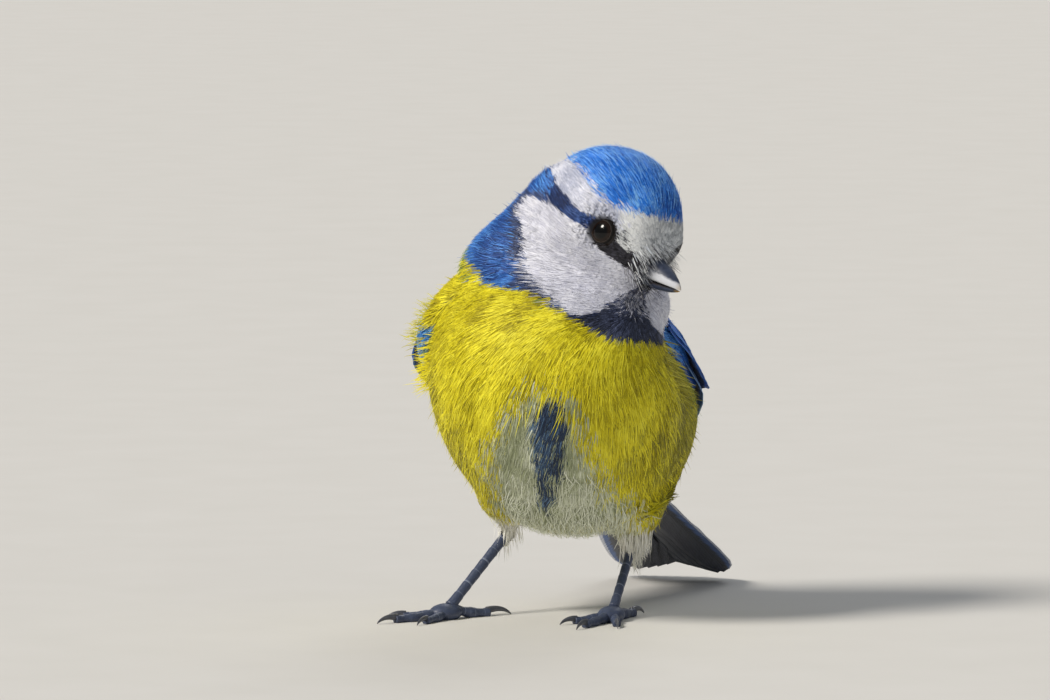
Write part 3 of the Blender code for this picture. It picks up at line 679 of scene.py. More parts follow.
@dataclass(frozen=True)
class Markings:
    """Where each patch of the plumage lies, in the head's and the body's own millimetres."""

    # Head: (along the head, rise) of each edge; the same on both sides
    cap_edge: Stations = (
        (-13.0, 4.4), (-10.0, 5.0), (-7.4, 5.6), (-2.1, 5.8), (0.7, 4.9), (3.2, 4.0), (5.1, 3.9),
        (8.1, 4.1), (9.1, 4.5), (12.0, 5.5),
    )
    band_edge: Stations = (
        (-13.0, 2.6), (-9.7, 2.2), (-7.7, 1.9), (-4.9, 1.6), (-2.3, 1.2), (0.3, 0.6), (2.5, 0.5),
        (3.9, 0.6), (5.2, 0.4), (8.0, -1.2), (9.2, -2.4), (10.5, -2.7), (12.0, -3.2),
    )
    cheek_top: Stations = (
        (-13.0, -3.6), (-11.7, -3.1), (-8.0, -2.0), (-5.1, -1.7), (-2.4, -1.5), (3.6, -1.5),
        (5.2, -2.9), (6.6, -4.1), (9.4, -4.4), (10.4, -4.6), (11.7, -5.2), (14.0, -6.0),
    )
    cheek_foot: Stations = (
        (-13.0, -4.8), (-12.1, -5.8), (-9.3, -7.5), (-7.2, -9.8), (-5.5, -11.7), (-3.2, -12.9),
        (-0.1, -13.3), (4.0, -13.7), (8.2, -14.2), (10.2, -14.5), (13.0, -15.2),
    )
    # Throat: (rise, how far the bib reaches) to the bird's right and left
    bib_right: Stations = (
        (-16.0, 14.0), (-14.5, 10.5), (-13.5, 8.7), (-12.5, 7.1), (-11.2, 5.2), (-10.4, 3.4),
        (-8.9, 1.9), (-7.5, 1.5), (-6.5, 1.4),
    )
    bib_left: Stations = (
        (-16.0, 14.0), (-14.4, 10.0), (-13.4, 5.6), (-12.6, 3.7), (-10.5, 3.2), (-8.4, 2.4),
        (-7.4, 1.7), (-6.5, 1.4),
    )
    # Collar: (degrees round from the bill, rise of its lower edge)
    collar_foot: Stations = (
        (0.0, -15.0), (30.0, -15.5), (43.0, -15.2), (60.0, -14.8), (78.0, -14.4), (89.0, -15.0),
        (105.0, -16.4), (125.0, -18.0), (140.0, -17.4), (160.0, -14.0), (180.0, -12.0),
    )
    # Belly: (along the body, ...) the dark line's middle and half-width, the pale patch's two edges
    line_middle: Stations = ((-3.0, -1.5), (1.9, -1.1), (9.3, 0.65), (18.0, 2.0), (24.5, 2.7))
    line_half: Stations = (
        (-6.0, -2.0), (-2.0, -0.2), (1.9, 0.9), (9.3, 2.0), (18.0, 2.8), (22.0, 2.7), (23.5, 1.4),
        (24.6, -0.6), (27.0, -3.0),
    )
    pale_right: Stations = (
        (-20.0, 9.0), (-5.4, 10.9), (8.8, 9.6), (16.7, 7.2), (20.0, 5.4), (25.0, 1.8), (27.0, 0.0),
    )
    pale_left: Stations = (
        (-20.0, 11.0), (-7.0, 11.5), (2.0, 10.0), (9.0, 8.2), (15.0, 7.6), (18.5, 7.0),
        (23.5, 5.6), (26.0, 3.0),
    )
    # Back: (along the body, degrees up from the belly where the green begins)
    mantle_edge: Stations = (
        (-20.0, 92.0), (0.0, 100.0), (10.0, 112.0), (16.0, 123.0), (20.0, 131.0), (24.0, 141.0),
        (27.0, 165.0), (30.0, 185.0),
    )
    # Face: the ends of a dark line and its half-width at each end, seen from the side; the far
    # one is that of the left side, seen on edge
    lore_line: tuple[float, ...] = (6.2, -2.6, 12.4, -4.2, 0.95, 1.15)
    far_lore_line: tuple[float, ...] = (7.0, 1.7, 12.0, -3.0, 1.5, 1.7)
    brow_line: tuple[float, ...] = (7.6, 1.3, 9.8, -2.2, 0.05, 0.3)
    eye_ring: float = 2.5
    ankles: tuple[tuple[float, float, float], ...] = ((-8.3, 8.8, 13.8), (11.9, 11.2, 12.3))

    def layers(self, points: Array) -> list[tuple[Patch, Array]]:
        """Works out the masks of the patches.

        Args:
            points: places in millimetres.

        Returns:
            Each patch with its mask, from the lowest layer to the one painted last.
        """
        along, side, rise = POSTURE.head.local(points).T
        wide = np.abs(side)
        round_head = np.degrees(np.arctan2(wide, along))
        b_along, b_side, b_rise = POSTURE.body.local(points).T
        around = np.degrees(np.arctan2(np.abs(b_side), -b_rise))
        front = edge(90 - around, 8)

        pale_limit = np.where(
            b_side > 0, on_line(b_along, self.pale_left), on_line(b_along, self.pale_right)
        )
        off_line = np.abs(b_side - on_line(b_along, self.line_middle))
        line_gap = on_line(b_along, self.line_half) - off_line
        mantle = edge(around - on_line(b_along, self.mantle_edge), 7)
        leg_gap = gap_to(points, self.ankles)

        collar = edge(rise - on_line(round_head, self.collar_foot), 0.45)
        bib_reach = np.where(side > 0, on_line(rise, self.bib_left), on_line(rise, self.bib_right))
        cheek_in = np.minimum(
            np.minimum(on_line(along, self.cheek_top) - rise, rise - on_line(along, self.cheek_foot)),
            wide - bib_reach,
        )
        cheek_in = np.minimum(cheek_in, along + 12.4)
        band = edge(rise - on_line(along, self.band_edge), 0.25)
        bib = edge(bib_reach - wide, 0.3) * edge(-6.2 - rise, 0.5) * edge(along - 3, 1) * collar
        lines = [self.in_line(along, rise, line) for line in (self.lore_line, self.brow_line)]
        far = np.where(side > 2.4, self.in_line(along, rise, self.far_lore_line), -9.0)
        lore = edge(np.max([lines[0], far, self.eye_ring - POSTURE.eye_gap(points)], axis=0), 0.4)
        away = [np.maximum(11.2 - along, 0) * 1.6, side, rise - POSTURE.bill_rise]
        at_bill = edge(3.3 - np.linalg.norm(np.stack(away, axis=1), axis=1), 0.4) * 0.8
        lore = np.maximum(lore * edge(wide - 1.3, 0.4), at_bill) * edge(along - 2.4, 0.8)
        brow = edge(lines[1], 0.25) * 0.55
        nape_spot = edge(2.6 - np.hypot(side, rise + 3.5), 0.6) * edge(-9 - along, 1)
        blue_from = 0.9 + 0.13 * np.clip(-rise, 0, 14)
        blue = edge(-cheek_in - blue_from, 0.7) * edge(round_head - 95, 8) * edge(3 - rise, 2)
        return [
            (Patch.BREAST, np.ones(len(points))),
            # Painted shade, partly the flank's own olive: duller yellow on both sides of the body,
            # behind the breast
            (Patch.FLANK, edge(around - 48, 22) * edge(8 - b_along, 9) * 0.8),
            (Patch.PALE, edge(pale_limit - np.abs(b_side), 2.3) * edge(25.0 - b_along, 2.0) * front),
            (Patch.VENT, edge(-9 - b_along, 4) * edge(75 - around, 15) * edge(11.0 - b_side, 2.5)),
            (Patch.BELLY_LINE, edge(line_gap, 0.75) * front * 0.93),
            (Patch.MANTLE, mantle),
            (Patch.RUMP, mantle * edge(-12 - b_along, 4)),
            (Patch.THIGH, edge(6.5 - leg_gap, 1.5)),
            (Patch.COLLAR, collar),
            (Patch.NECK, collar * blue),
            (Patch.STRIPE, edge(2.2 - np.abs(rise + 0.4), 0.3) * edge(along + 8.0, 1.5)),
            (Patch.FOREHEAD, nape_spot * 0.7),
            (Patch.LORE, edge(along - 4.2, 0.8) * edge(wide - 1.5, 0.5) * edge(rise + 7.0, 0.5)),
            (Patch.CHEEK, edge(cheek_in, 0.25)),
            (Patch.BAND, band),
            (Patch.FOREHEAD, band * edge(along - 7.2, 1.4) * edge(6.0 - rise, 1.0)),
            (Patch.CAP, edge(rise - on_line(along, self.cap_edge), 0.7)),
            (Patch.BIB, bib),
            (Patch.CHIN, 0.42 * bib * edge(rise + 11.2, 1.0)),
            (Patch.LORE, np.maximum(lore, brow * edge(wide - 1.3, 0.4))),
        ]

    @staticmethod
    def in_line(along: Array, rise: Array, line: Sequence[float]) -> Array:
        """Gives how far inside a tapered line places are.

        Args:
            along: distance forward along the head.
            rise: distance up.
            line: both ends, then the half-width at each end.

        Returns:
            Distances, below 0 outside.
        """
        x0, y0, x1, y1, first, last = line
        dx, dy = x1 - x0, y1 - y0
        share = np.clip(((along - x0) * dx + (rise - y0) * dy) / (dx * dx + dy * dy), 0, 1)
        gap = np.hypot(along - x0 - share * dx, rise - y0 - share * dy)
        return first + (last - first) * share - gap

    def chosen(self, points: Array, dice: Array) -> Array:
        """Picks one patch for each place; where patches meet, the dice decide.

        Args:
            points: places in millimetres.
            dice: a number from 0 to 1 for each place.

        Returns:
            The number of the patch in the list of patches.
        """
        found = np.zeros(len(points), int)
        for patch, mask in self.layers(points):
            found = np.where(mask > dice, PATCHES.index(patch), found)
        return found

    def blended(self, points: Array) -> Array:
        """Gives the colour of the skin under the feathers, with soft edges.

        Args:
            points: places in millimetres.

        Returns:
            Linear colours.
        """
        colour = np.zeros((len(points), 3))
        for patch, mask in self.layers(points):
            under = linear(patch.value.base) * 0.85 + linear(patch.value.dark) * 0.15
            colour += (under - colour) * mask[:, None]
        return colour


SLIM_SHOULDER: Stations = (  # along the body, how far the left side is drawn in
    (-22.0, 0.0), (-13.0, -1.4), (-8.0, -0.6), (-3.5, 1.2), (1.5, 2.4), (5.0, 3.4), (9.0, 3.9),
    (15.0, 3.0), (22.0, 0.9), (27.0, 0.0),
)
SLIM_FLANK = (  # place on the body, how far it is drawn in, and the reach
    (1.0, 20.5, -4.0, 1.1, 6.5), (-15.0, 15.0, -12.0, 1.5, 9.0), (-11.0, 18.0, -6.5, -0.8, 4.0),
    (-12.0, 17.5, -12.5, 0.8, 3.5), (8.0, -23.0, 5.0, 1.1, 7.5), (18.0, -15.5, 14.5, 1.1, 6.0),
)
SWELLS = (  # place on the head, left or right, with how far the plumage swells out, and its reach
    (8.5, 3.5, 4.5, 0.9, 5.2), (-4.0, 6.0, 8.5, 0.4, 7.0), (-15.0, 8.0, -12.0, 0.3, 7.5),
)
# The same, on the left side alone
FAR_SWELLS = ((9.2, 5.6, 0.2, 1.3, 3.0), (11.0, 8.5, -9.8, 3.2, 5.0))


def bumps(local: Array, places: Sequence[Sequence[float]]) -> Array:
    """Adds up soft round bumps, each given by its place, its height and its reach.

    Args:
        local: places in the same directions.
        places: rows of x, y, z, height and reach.

    Returns:
        The height at each place.
    """
    total = np.zeros(len(local))
    for x, y, z, amount, reach in places:
        total += amount * np.exp(-np.sum((local - (x, y, z)) ** 2, axis=1) / reach**2)
    return total


def drawn_in(points: Array) -> Array:
    """Draws the left shoulder in, because the bird turns its head over it and pulls it flat.

    Args:
        points: places in millimetres.

    Returns:
        The moved places.
    """
    local = POSTURE.body.local(points)
    along, side, rise = local.T
    amount = on_line(along, SLIM_SHOULDER) * edge(side - 13.5, 4.5) * edge(rise - 1.5, 5.5)
    amount = amount + bumps(local, SLIM_FLANK)
    return points - POSTURE.body.left * amount[:, None]


@dataclass(frozen=True)
class Lie:
    """How long the feathers are and which way they lie."""

    length_on_head: Stations = (
        (1.0, 0.9), (3.0, 1.4), (6.0, 2.3), (9.0, 3.1), (14.0, 3.9), (21.0, 4.4),
    )
    length_on_body: float = 6.0
    knees: tuple[tuple[float, float, float], ...] = ((-9.0, -0.5, 24.5), (12.6, 1.0, 22.6))
    neck_rises: tuple[float, float] = (-20.0, -12.0)
    depth_of_length: Stations = ((0.9, 0.28), (2.6, 0.5), (6.0, 0.95))
    width_of_length: Stations = ((0.9, 0.085), (3.0, 0.12), (6.0, 0.17))
    crowd_of_length: Stations = ((0.9, 14.0), (2.3, 7.4), (3.2, 5.2), (4.2, 3.7), (6.0, 2.6))

    def head_share(self, points: Array) -> Array:
        """Gives 1 on the head and 0 on the body, with a smooth change over the neck.

        Args:
            points: places in millimetres.

        Returns:
            Shares of 0 to 1.
        """
        rise = POSTURE.head.local(points)[:, 2]
        low, high = self.neck_rises
        t = np.clip((rise - low) / (high - low), 0, 1)
        return t * t * (3 - 2 * t)

    def length(self, points: Array) -> Array:
        """Gives the length of the feathers at places, in millimetres.

        Args:
            points: places in millimetres.

        Returns:
            Lengths in millimetres.
        """
        bill = POSTURE.head.at(POSTURE.bill_start, 0, POSTURE.bill_rise)
        on_head = on_line(np.linalg.norm(points - bill, axis=1) - 1.5, self.length_on_head)
        leg_gap = gap_to(points, Markings.ankles)
        on_body = self.length_on_body * np.clip(0.45 + leg_gap / 20.0, 0.5, 1.0)
        share = self.head_share(points)
        return on_head * share + on_body * (1 - share)

    def depth(self, points: Array) -> Array:
        """Gives how deep the coat is over the skin, in millimetres."""
        return on_line(self.length(points), self.depth_of_length)

    def ruffle(self, points: Array) -> Array:
        """Gives how far the feathers are raised on the nape and shoulders, in millimetres.

        Args:
            points: places in millimetres.

        Returns:
            Heights in millimetres.
        """
        along, side, rise = POSTURE.head.local(points).T
        behind = edge(np.degrees(np.arctan2(np.abs(side), along)) - 128, 14)
        return 1.5 * behind * edge(1.5 - rise, 2.5) * edge(rise + 27, 4)

    def heading(self, points: Array, normals: Array) -> Array:
        """Gives the direction in which the feathers point, level with the skin.

        Args:
            points: places in millimetres.
            normals: the skin's directions out.

        Returns:
            Directions of length one.
        """
        head, body = POSTURE.head, POSTURE.body
        bill = head.at(POSTURE.bill_start + 1.0, 0, POSTURE.bill_rise)
        away = unit(points - bill) - 0.35 * head.forward
        for side in Side:
            eye = POSTURE.eye_centre(side) + POSTURE.eye_axis(side) * 1.5
            gap = points - eye
            size = np.linalg.norm(gap, axis=1, keepdims=True)
            away = away + unit(gap) * np.clip(1 - (size - 2.2) / 2.2, 0, 1) * 0.9
        throat = head.at(8.0, 0, -10.0)
        rump = POSTURE.tail.at(6.0, 0, -1.0)
        down = 0.8 * unit(rump - points) + 0.5 * unit(points - throat)
        for ankle, knee in zip(Markings.ankles, self.knees):
            ankle, knee = np.array(ankle), np.array(knee)
            gap = np.linalg.norm(points - ankle, axis=1, keepdims=True)
            down = down + unit(ankle - knee) * np.clip(1.25 - gap / 9.0, 0, 1) * 2.5
        share = self.head_share(points)[:, None]
        return level(unit(away) * share + unit(down) * (1 - share), normals)


# ---------------------------------------------------------------------------- the coat


@dataclass
class Hide:
    """A surface that feathers grow from, as arrays and a tree for finding places on it."""

    triangles: Array
    normals: Array
    unwrap: Array
    tree: BVHTree

    @classmethod
    def of(cls, obj: bpy.types.Object, first: int | None = None) -> "Hide":
        """Reads an object that has an unwrap.

        Args:
            obj: the object, in the model's metres.
            first: how many of its triangles grow feathers, from the first one, or None for all.

        Returns:
            The surface.
        """
        mesh = obj.data
        mesh.calc_loop_triangles()
        corners, loops = (
            read(mesh.loop_triangles, key, 3, np.int32)[:first] for key in ("vertices", "loops")
        )
        points = points_of(obj)
        normals = read(mesh.vertices, "normal", 3).astype(float)
        unwrap = read(mesh.uv_layers[0].uv, "vector", 2)
        tree = BVHTree.FromPolygons(points.tolist(), corners.tolist())
        return cls(points[corners], normals[corners], unwrap[loops], tree)

    def scatter(
        self, crowd: Callable[[Array], Array], dice: np.random.Generator
    ) -> tuple[Array, Array, Array]:
        """Draws places spread evenly over the surface.

        Args:
            crowd: gives how many places there are to a square millimetre.
            dice: the random draws.

        Returns:
            The places, the normals there and their places on the unwrap.
        """
        middle = self.triangles.mean(axis=1)
        a, b, c = (self.triangles[:, k] for k in range(3))
        area = np.linalg.norm(np.cross(b - a, c - a), axis=1) / 2
        running = np.cumsum(area * crowd(middle))
        count = int(running[-1])
        drawn = (np.arange(count) + dice.random(count)) * (running[-1] / count)
        pick = np.clip(np.searchsorted(running, drawn), 0, len(area) - 1)
        first, second = dice.random(count), dice.random(count)
        over = first + second > 1
        first[over], second[over] = 1 - first[over], 1 - second[over]
        weights = np.stack([1 - first - second, first, second], axis=1)[..., None]
        points = (self.triangles[pick] * weights).sum(axis=1)
        normals = unit((self.normals[pick] * weights).sum(axis=1))
        return points, normals, (self.unwrap[pick] * weights).sum(axis=1)

    def landed(self, points: Array) -> tuple[Array, Array]:
        """Gives the nearest places on the surface and the normals there.

        Args:
            points: places in millimetres.

        Returns:
            The places and the directions.
        """
        places, normals = np.zeros_like(points), np.zeros_like(points)
        for i, point in enumerate(points):
            place, normal, _, _ = self.tree.find_nearest(Vector(point))
            places[i], normals[i] = place, normal
        return places, normals


def surface_tree(made: bpy.types.Object) -> BVHTree:
    """Gives a tree of an object's surface in millimetres."""
    faces = [tuple(face.vertices) for face in made.data.polygons]
    return BVHTree.FromPolygons(points_of(made).tolist(), faces)


def fibre_pattern(inner: int) -> Array:
    """Gives the triangles of a three-sided closed fibre with this many rings between its ends.

    Args:
        inner: how many rings there are.

    Returns:
        Rows of three point numbers.
    """
    rings = [(1 + 3 * i, 2 + 3 * i, 3 + 3 * i) for i in range(inner)]
    left, right, ridge = rings[0]
    rows = [(0, ridge, left), (0, right, ridge), (0, left, right)]
    for (l0, r0, t0), (l1, r1, t1) in zip(rings, rings[1:]):
        rows += [(t0, t1, l1), (t0, l1, l0), (r0, r1, t1), (r0, t1, t0), (l0, l1, r1), (l0, r1, r0)]
    left, right, ridge = rings[-1]
    tip = 3 * inner + 1
    rows += [(tip, left, ridge), (tip, ridge, right), (tip, right, left)]
    return np.array(rows)


@dataclass
class Fibres:
    """Fine closed tapered fibres, from a root through flat ridged rings to a tip."""

    paths: Array  # fibre, station, coordinates
    outs: Array  # fibre, station, coordinates
    widths: Array  # fibre, inner station
    colours: Array  # fibre, linear colour
    finish: Array  # fibre: the number of its patch
    unwrap: Array  # fibre: the place of its patch on the unwrap
    lane: Array  # fibre: its place across that patch, -0.5 to 0.5
    lane_width: float
    across: Array | None = None  # fibre, inner station, coordinates
    ridge: float = 0.07  # of the width
    patch_size: float = 0.003  # of the unwrap
    from_root: tuple[float, float] = (0.66, 1.08)  # painted shade at the root and painted light at the tip, as shares of the colour

    def build(self, name: str) -> bpy.types.Object:
        """Makes the fibres as one piece of this name, with colours, materials and unwrap.

        Args:
            name: the piece's name.

        Returns:
            What is made.
        """
        count, stations = self.paths.shape[:2]
        inner = stations - 2
        middle, out = self.paths[:, 1:-1], self.outs[:, 1:-1]
        across = self.across
        if across is None:
            across = unit(np.cross(out, self.paths[:, 2:] - self.paths[:, :-2]))
        half = (self.widths / 2)[..., None]
        ridges = middle + out * half * 2 * self.ridge
        rings = np.stack([middle - across * half, middle + across * half, ridges], axis=2)
        points = np.concatenate(
            [self.paths[:, :1], rings.reshape(count, inner * 3, 3), self.paths[:, -1:]], axis=1
        )
        pattern, size = fibre_pattern(inner), 3 * inner + 2
        faces = (pattern[None] + (np.arange(count) * size)[:, None, None]).reshape(-1, 3)
        made = mesh_object(name, points.reshape(-1, 3), faces, smooth=False)

        share = np.repeat(np.linspace(0, 1, stations)[1:-1], 3)
        share = np.concatenate([[0.0], share, [1.0]])
        # Painted shade: each fibre darkens towards its root, where it lies under the others, and
        # lightens a little at its tip
        shade = self.from_root[0] + (self.from_root[1] - self.from_root[0]) * share**0.6
        tint(made, np.clip(self.colours[:, None, :] * shade[None, :, None], 0, 1).reshape(-1, 3))
        sideways = np.concatenate([[0.0], np.tile([-0.4, 0.4, 0.0], inner), [0.0]]) * self.lane_width
        spots = np.stack(
            [self.lane[:, None] + sideways, np.broadcast_to(share - 0.5, (count, size))], axis=-1
        )
        spots = self.unwrap[:, None, :] + spots * self.patch_size
        lay_out(made, spots.reshape(-1, 2), faces)
        used = sorted(set(self.finish.tolist()))
        for number in used:
            made.data.materials.append(FINISHES[PATCHES[number]])
        slots = np.repeat(np.searchsorted(used, self.finish), len(pattern)).astype(np.int32)
        made.data.polygons.foreach_set("material_index", slots)
        return made


@dataclass
class Tufts:
    """Feathers ready to be meshed: each is a fan of fine tapered barbs over a bent middle line."""

    places: Array  # tuft, station (root, middle, tip), coordinates
    normals: Array
    unwrap: Array
    length: Array
    width: Array
    rise: Array
    patch: Array
    draw: Array
    marked: bool = True  # whether each barb takes the patch where it lies, or its feather's

    def part(self, chosen: Array) -> "Tufts":
        """Gives the tufts of a choice."""
        return Tufts(*(getattr(self, f.name)[chosen] for f in fields(self)[:-1]), self.marked)


@dataclass
class Coat:
    """The feathers of the head and body, as fans of solid tapered barbs."""

    markings: Markings
    lie: Lie
    barbs: int = 8
    spread: float = 0.18  # half the width of a feather, as a share of its length
    most_faces: int = 190_000
    stray_share: float = 0.012
    sink: float = 0.12
    barb_variety: float = 0.15  # how much the shades of one feather's barbs differ

    def grown(self, hide: Hide, roots: tuple[Array, Array, Array], patch: Array | None,
              dice: np.random.Generator, lifted: Array, heading: Array | None = None,
              scale: Array | float = 1.0) -> Tufts:
        """Lays a feather along the skin from each root.

        Args:
            hide: the surface.
            roots: the roots, the surface's directions out there, and their places on the unwrap.
            patch: the number of the patch that each belongs to, or None to follow the markings.
            dice: the random draws.
            lifted: how far each stands over the usual height, in millimetres.
            heading: which way they lie, or None to follow the plumage.
            scale: how much longer than usual they are.

        Returns:
            The feathers.
        """
        points, normals, unwrap = roots
        length = self.lie.length(points) * scale * dice.uniform(0.8, 1.2, len(points))
        gap = POSTURE.eye_gap(points)
        length = np.minimum(length, np.maximum(0.45, (gap - 2.0) * 1.1 + 0.45) + 3.0 * (gap > 5))
        flow = self.lie.heading(points, normals) if heading is None else heading
        turn = np.radians(9 * swirl(points, 7.0, SEED + 1) + 5 * swirl(points, 2.6, SEED + 2))
        turn = turn + np.radians(dice.normal(0, 3.0, len(points)))
        flow = flow * np.cos(turn)[:, None] + np.cross(normals, flow) * np.sin(turn)[:, None]
        places, outs = [points], [normals]
        for _ in range(2):
            flow = level(flow, outs[-1])
            place, normal = hide.landed(places[-1] + flow * (length / 2)[:, None])
            places.append(place)
            outs.append(unit(normal))
        draw = dice.random(len(points))
        marked = patch is None
        if marked:
            patch = self.markings.chosen(places[1], draw)
        return Tufts(
            np.stack(places, axis=1), np.stack(outs, axis=1), unwrap, length,
            on_line(length, self.lie.width_of_length),
            np.stack([self.lie.depth(points), lifted], axis=1), patch, draw, marked,
        )

    def meshed(self, tufts: Tufts, name: str, dice: np.random.Generator) -> bpy.types.Object:
        """Makes one piece of feathers.

        Args:
            tufts: the feathers.
            name: the piece's name.
            dice: the random draws.

        Returns:
            The piece, with its colours, materials and unwrap.
        """
        count, k = len(tufts.length), self.barbs
        shape = (count, k)
        order = np.linspace(-1, 1, k)[None, :] + dice.normal(0, 0.12, shape)
        reach = (1 - 0.2 * order**2) * dice.uniform(0.72, 1.0, shape)
        half = (tufts.length * self.spread)[:, None]
        layer = dice.random(count)[:, None]
        depth, lifted = tufts.rise[:, :1], tufts.rise[:, 1:]
        stray = dice.random(shape) < self.stray_share
        height_mid = depth * (0.34 + 0.26 * layer + 0.04 * dice.random(shape)) + lifted * 0.6
        height_tip = depth * (0.32 + 0.42 * layer + 0.06 * dice.random(shape)) + lifted
        height_tip = height_tip + stray * depth * dice.uniform(0.5, 1.4, shape)

        p0, p1, p2 = (tufts.places[:, None, i] for i in range(3))
        n0, n1, n2 = (tufts.normals[:, None, i] for i in range(3))
        legs = ((n0, p0, p1), (n1, p0, p2), (n2, p1, p2))
        side_0, side_1, side_2 = (unit(np.cross(n, far - near)) for n, near, far in legs)
        reach3, order3, half3 = reach[..., None], order[..., None], half[..., None]
        root = p0 + side_0 * order3 * half3 * 0.35 - n0 * self.sink
        mid = p0 + (p1 - p0) * reach3 * 0.92 + side_1 * order3 * half3 * 0.8
        mid = mid + n1 * height_mid[..., None]
        tip = p1 + (p2 - p1) * (reach3 * 2 - 1) + n2 * height_tip[..., None]
        tip = tip + side_2 * (order + dice.normal(0, 0.12, shape))[..., None] * half3
        width = tufts.width[:, None] * dice.uniform(0.75, 1.25, shape)

        patch = np.repeat(tufts.patch[:, None], k, axis=1)
        if tufts.marked:
            seen = (mid * 0.55 + tip * 0.45).reshape(-1, 3)
            draw = np.clip(np.repeat(tufts.draw, k) + dice.normal(0, 0.15, count * k), 0.02, 0.98)
            patch = self.markings.chosen(seen, draw).reshape(shape)
        outs = np.broadcast_to(tufts.normals[:, None], (count, k, 3, 3))
        return Fibres(
            np.stack([root, mid, tip], axis=2).reshape(-1, 3, 3),
            outs.reshape(-1, 3, 3),
            width.reshape(-1, 1),
            self.shades(tufts, patch, dice).reshape(-1, 3),
            np.repeat(tufts.patch, k),
            np.repeat(tufts.unwrap, k, axis=0),
            np.tile((np.arange(k) + 0.5) / k - 0.5, count),
            1 / k,
            np.broadcast_to(side_1, (count, k, 3)).reshape(-1, 1, 3),
        ).build(name)

    def shades(self, tufts: Tufts, patch: Array, dice: np.random.Generator) -> Array:
        """Draws the colour of every barb from its patch.

        Args:
            tufts: the feathers.
            patch: the number of the patch of each barb.
            dice: the random draws.

        Returns:
            Linear colours, one for each barb of each feather.
        """
        shape = patch.shape
        keys = ("base", "dark", "light")
        table = np.array([[linear(getattr(p.value, key)) for key in keys] for p in PATCHES])
        shares = np.array([(p.value.dark_share, p.value.light_share) for p in PATCHES])
        base, dark, light = (table[patch][..., i, :] for i in range(3))
        dark_share, light_share = (shares[patch][..., i] for i in range(2))
        roots = tufts.places[:, 0]
        mood = 0.5 + 0.16 * swirl(roots, 8.0, SEED + 5)[:, None] + dice.normal(0, 0.11, (shape[0], 1))
        draw = mood + dice.normal(0, self.barb_variety, shape)
        toward_dark = np.clip((dark_share + 0.25 - draw) / 0.35, 0, 0.9)[..., None]
        toward_light = np.clip((draw - 1 + light_share + 0.25) / 0.4, 0, 0.85)[..., None]
        colour = base + (dark - base) * toward_dark
        colour = colour + (light - colour) * toward_light
        return colour * dice.normal(1.0, 0.05, shape)[..., None]


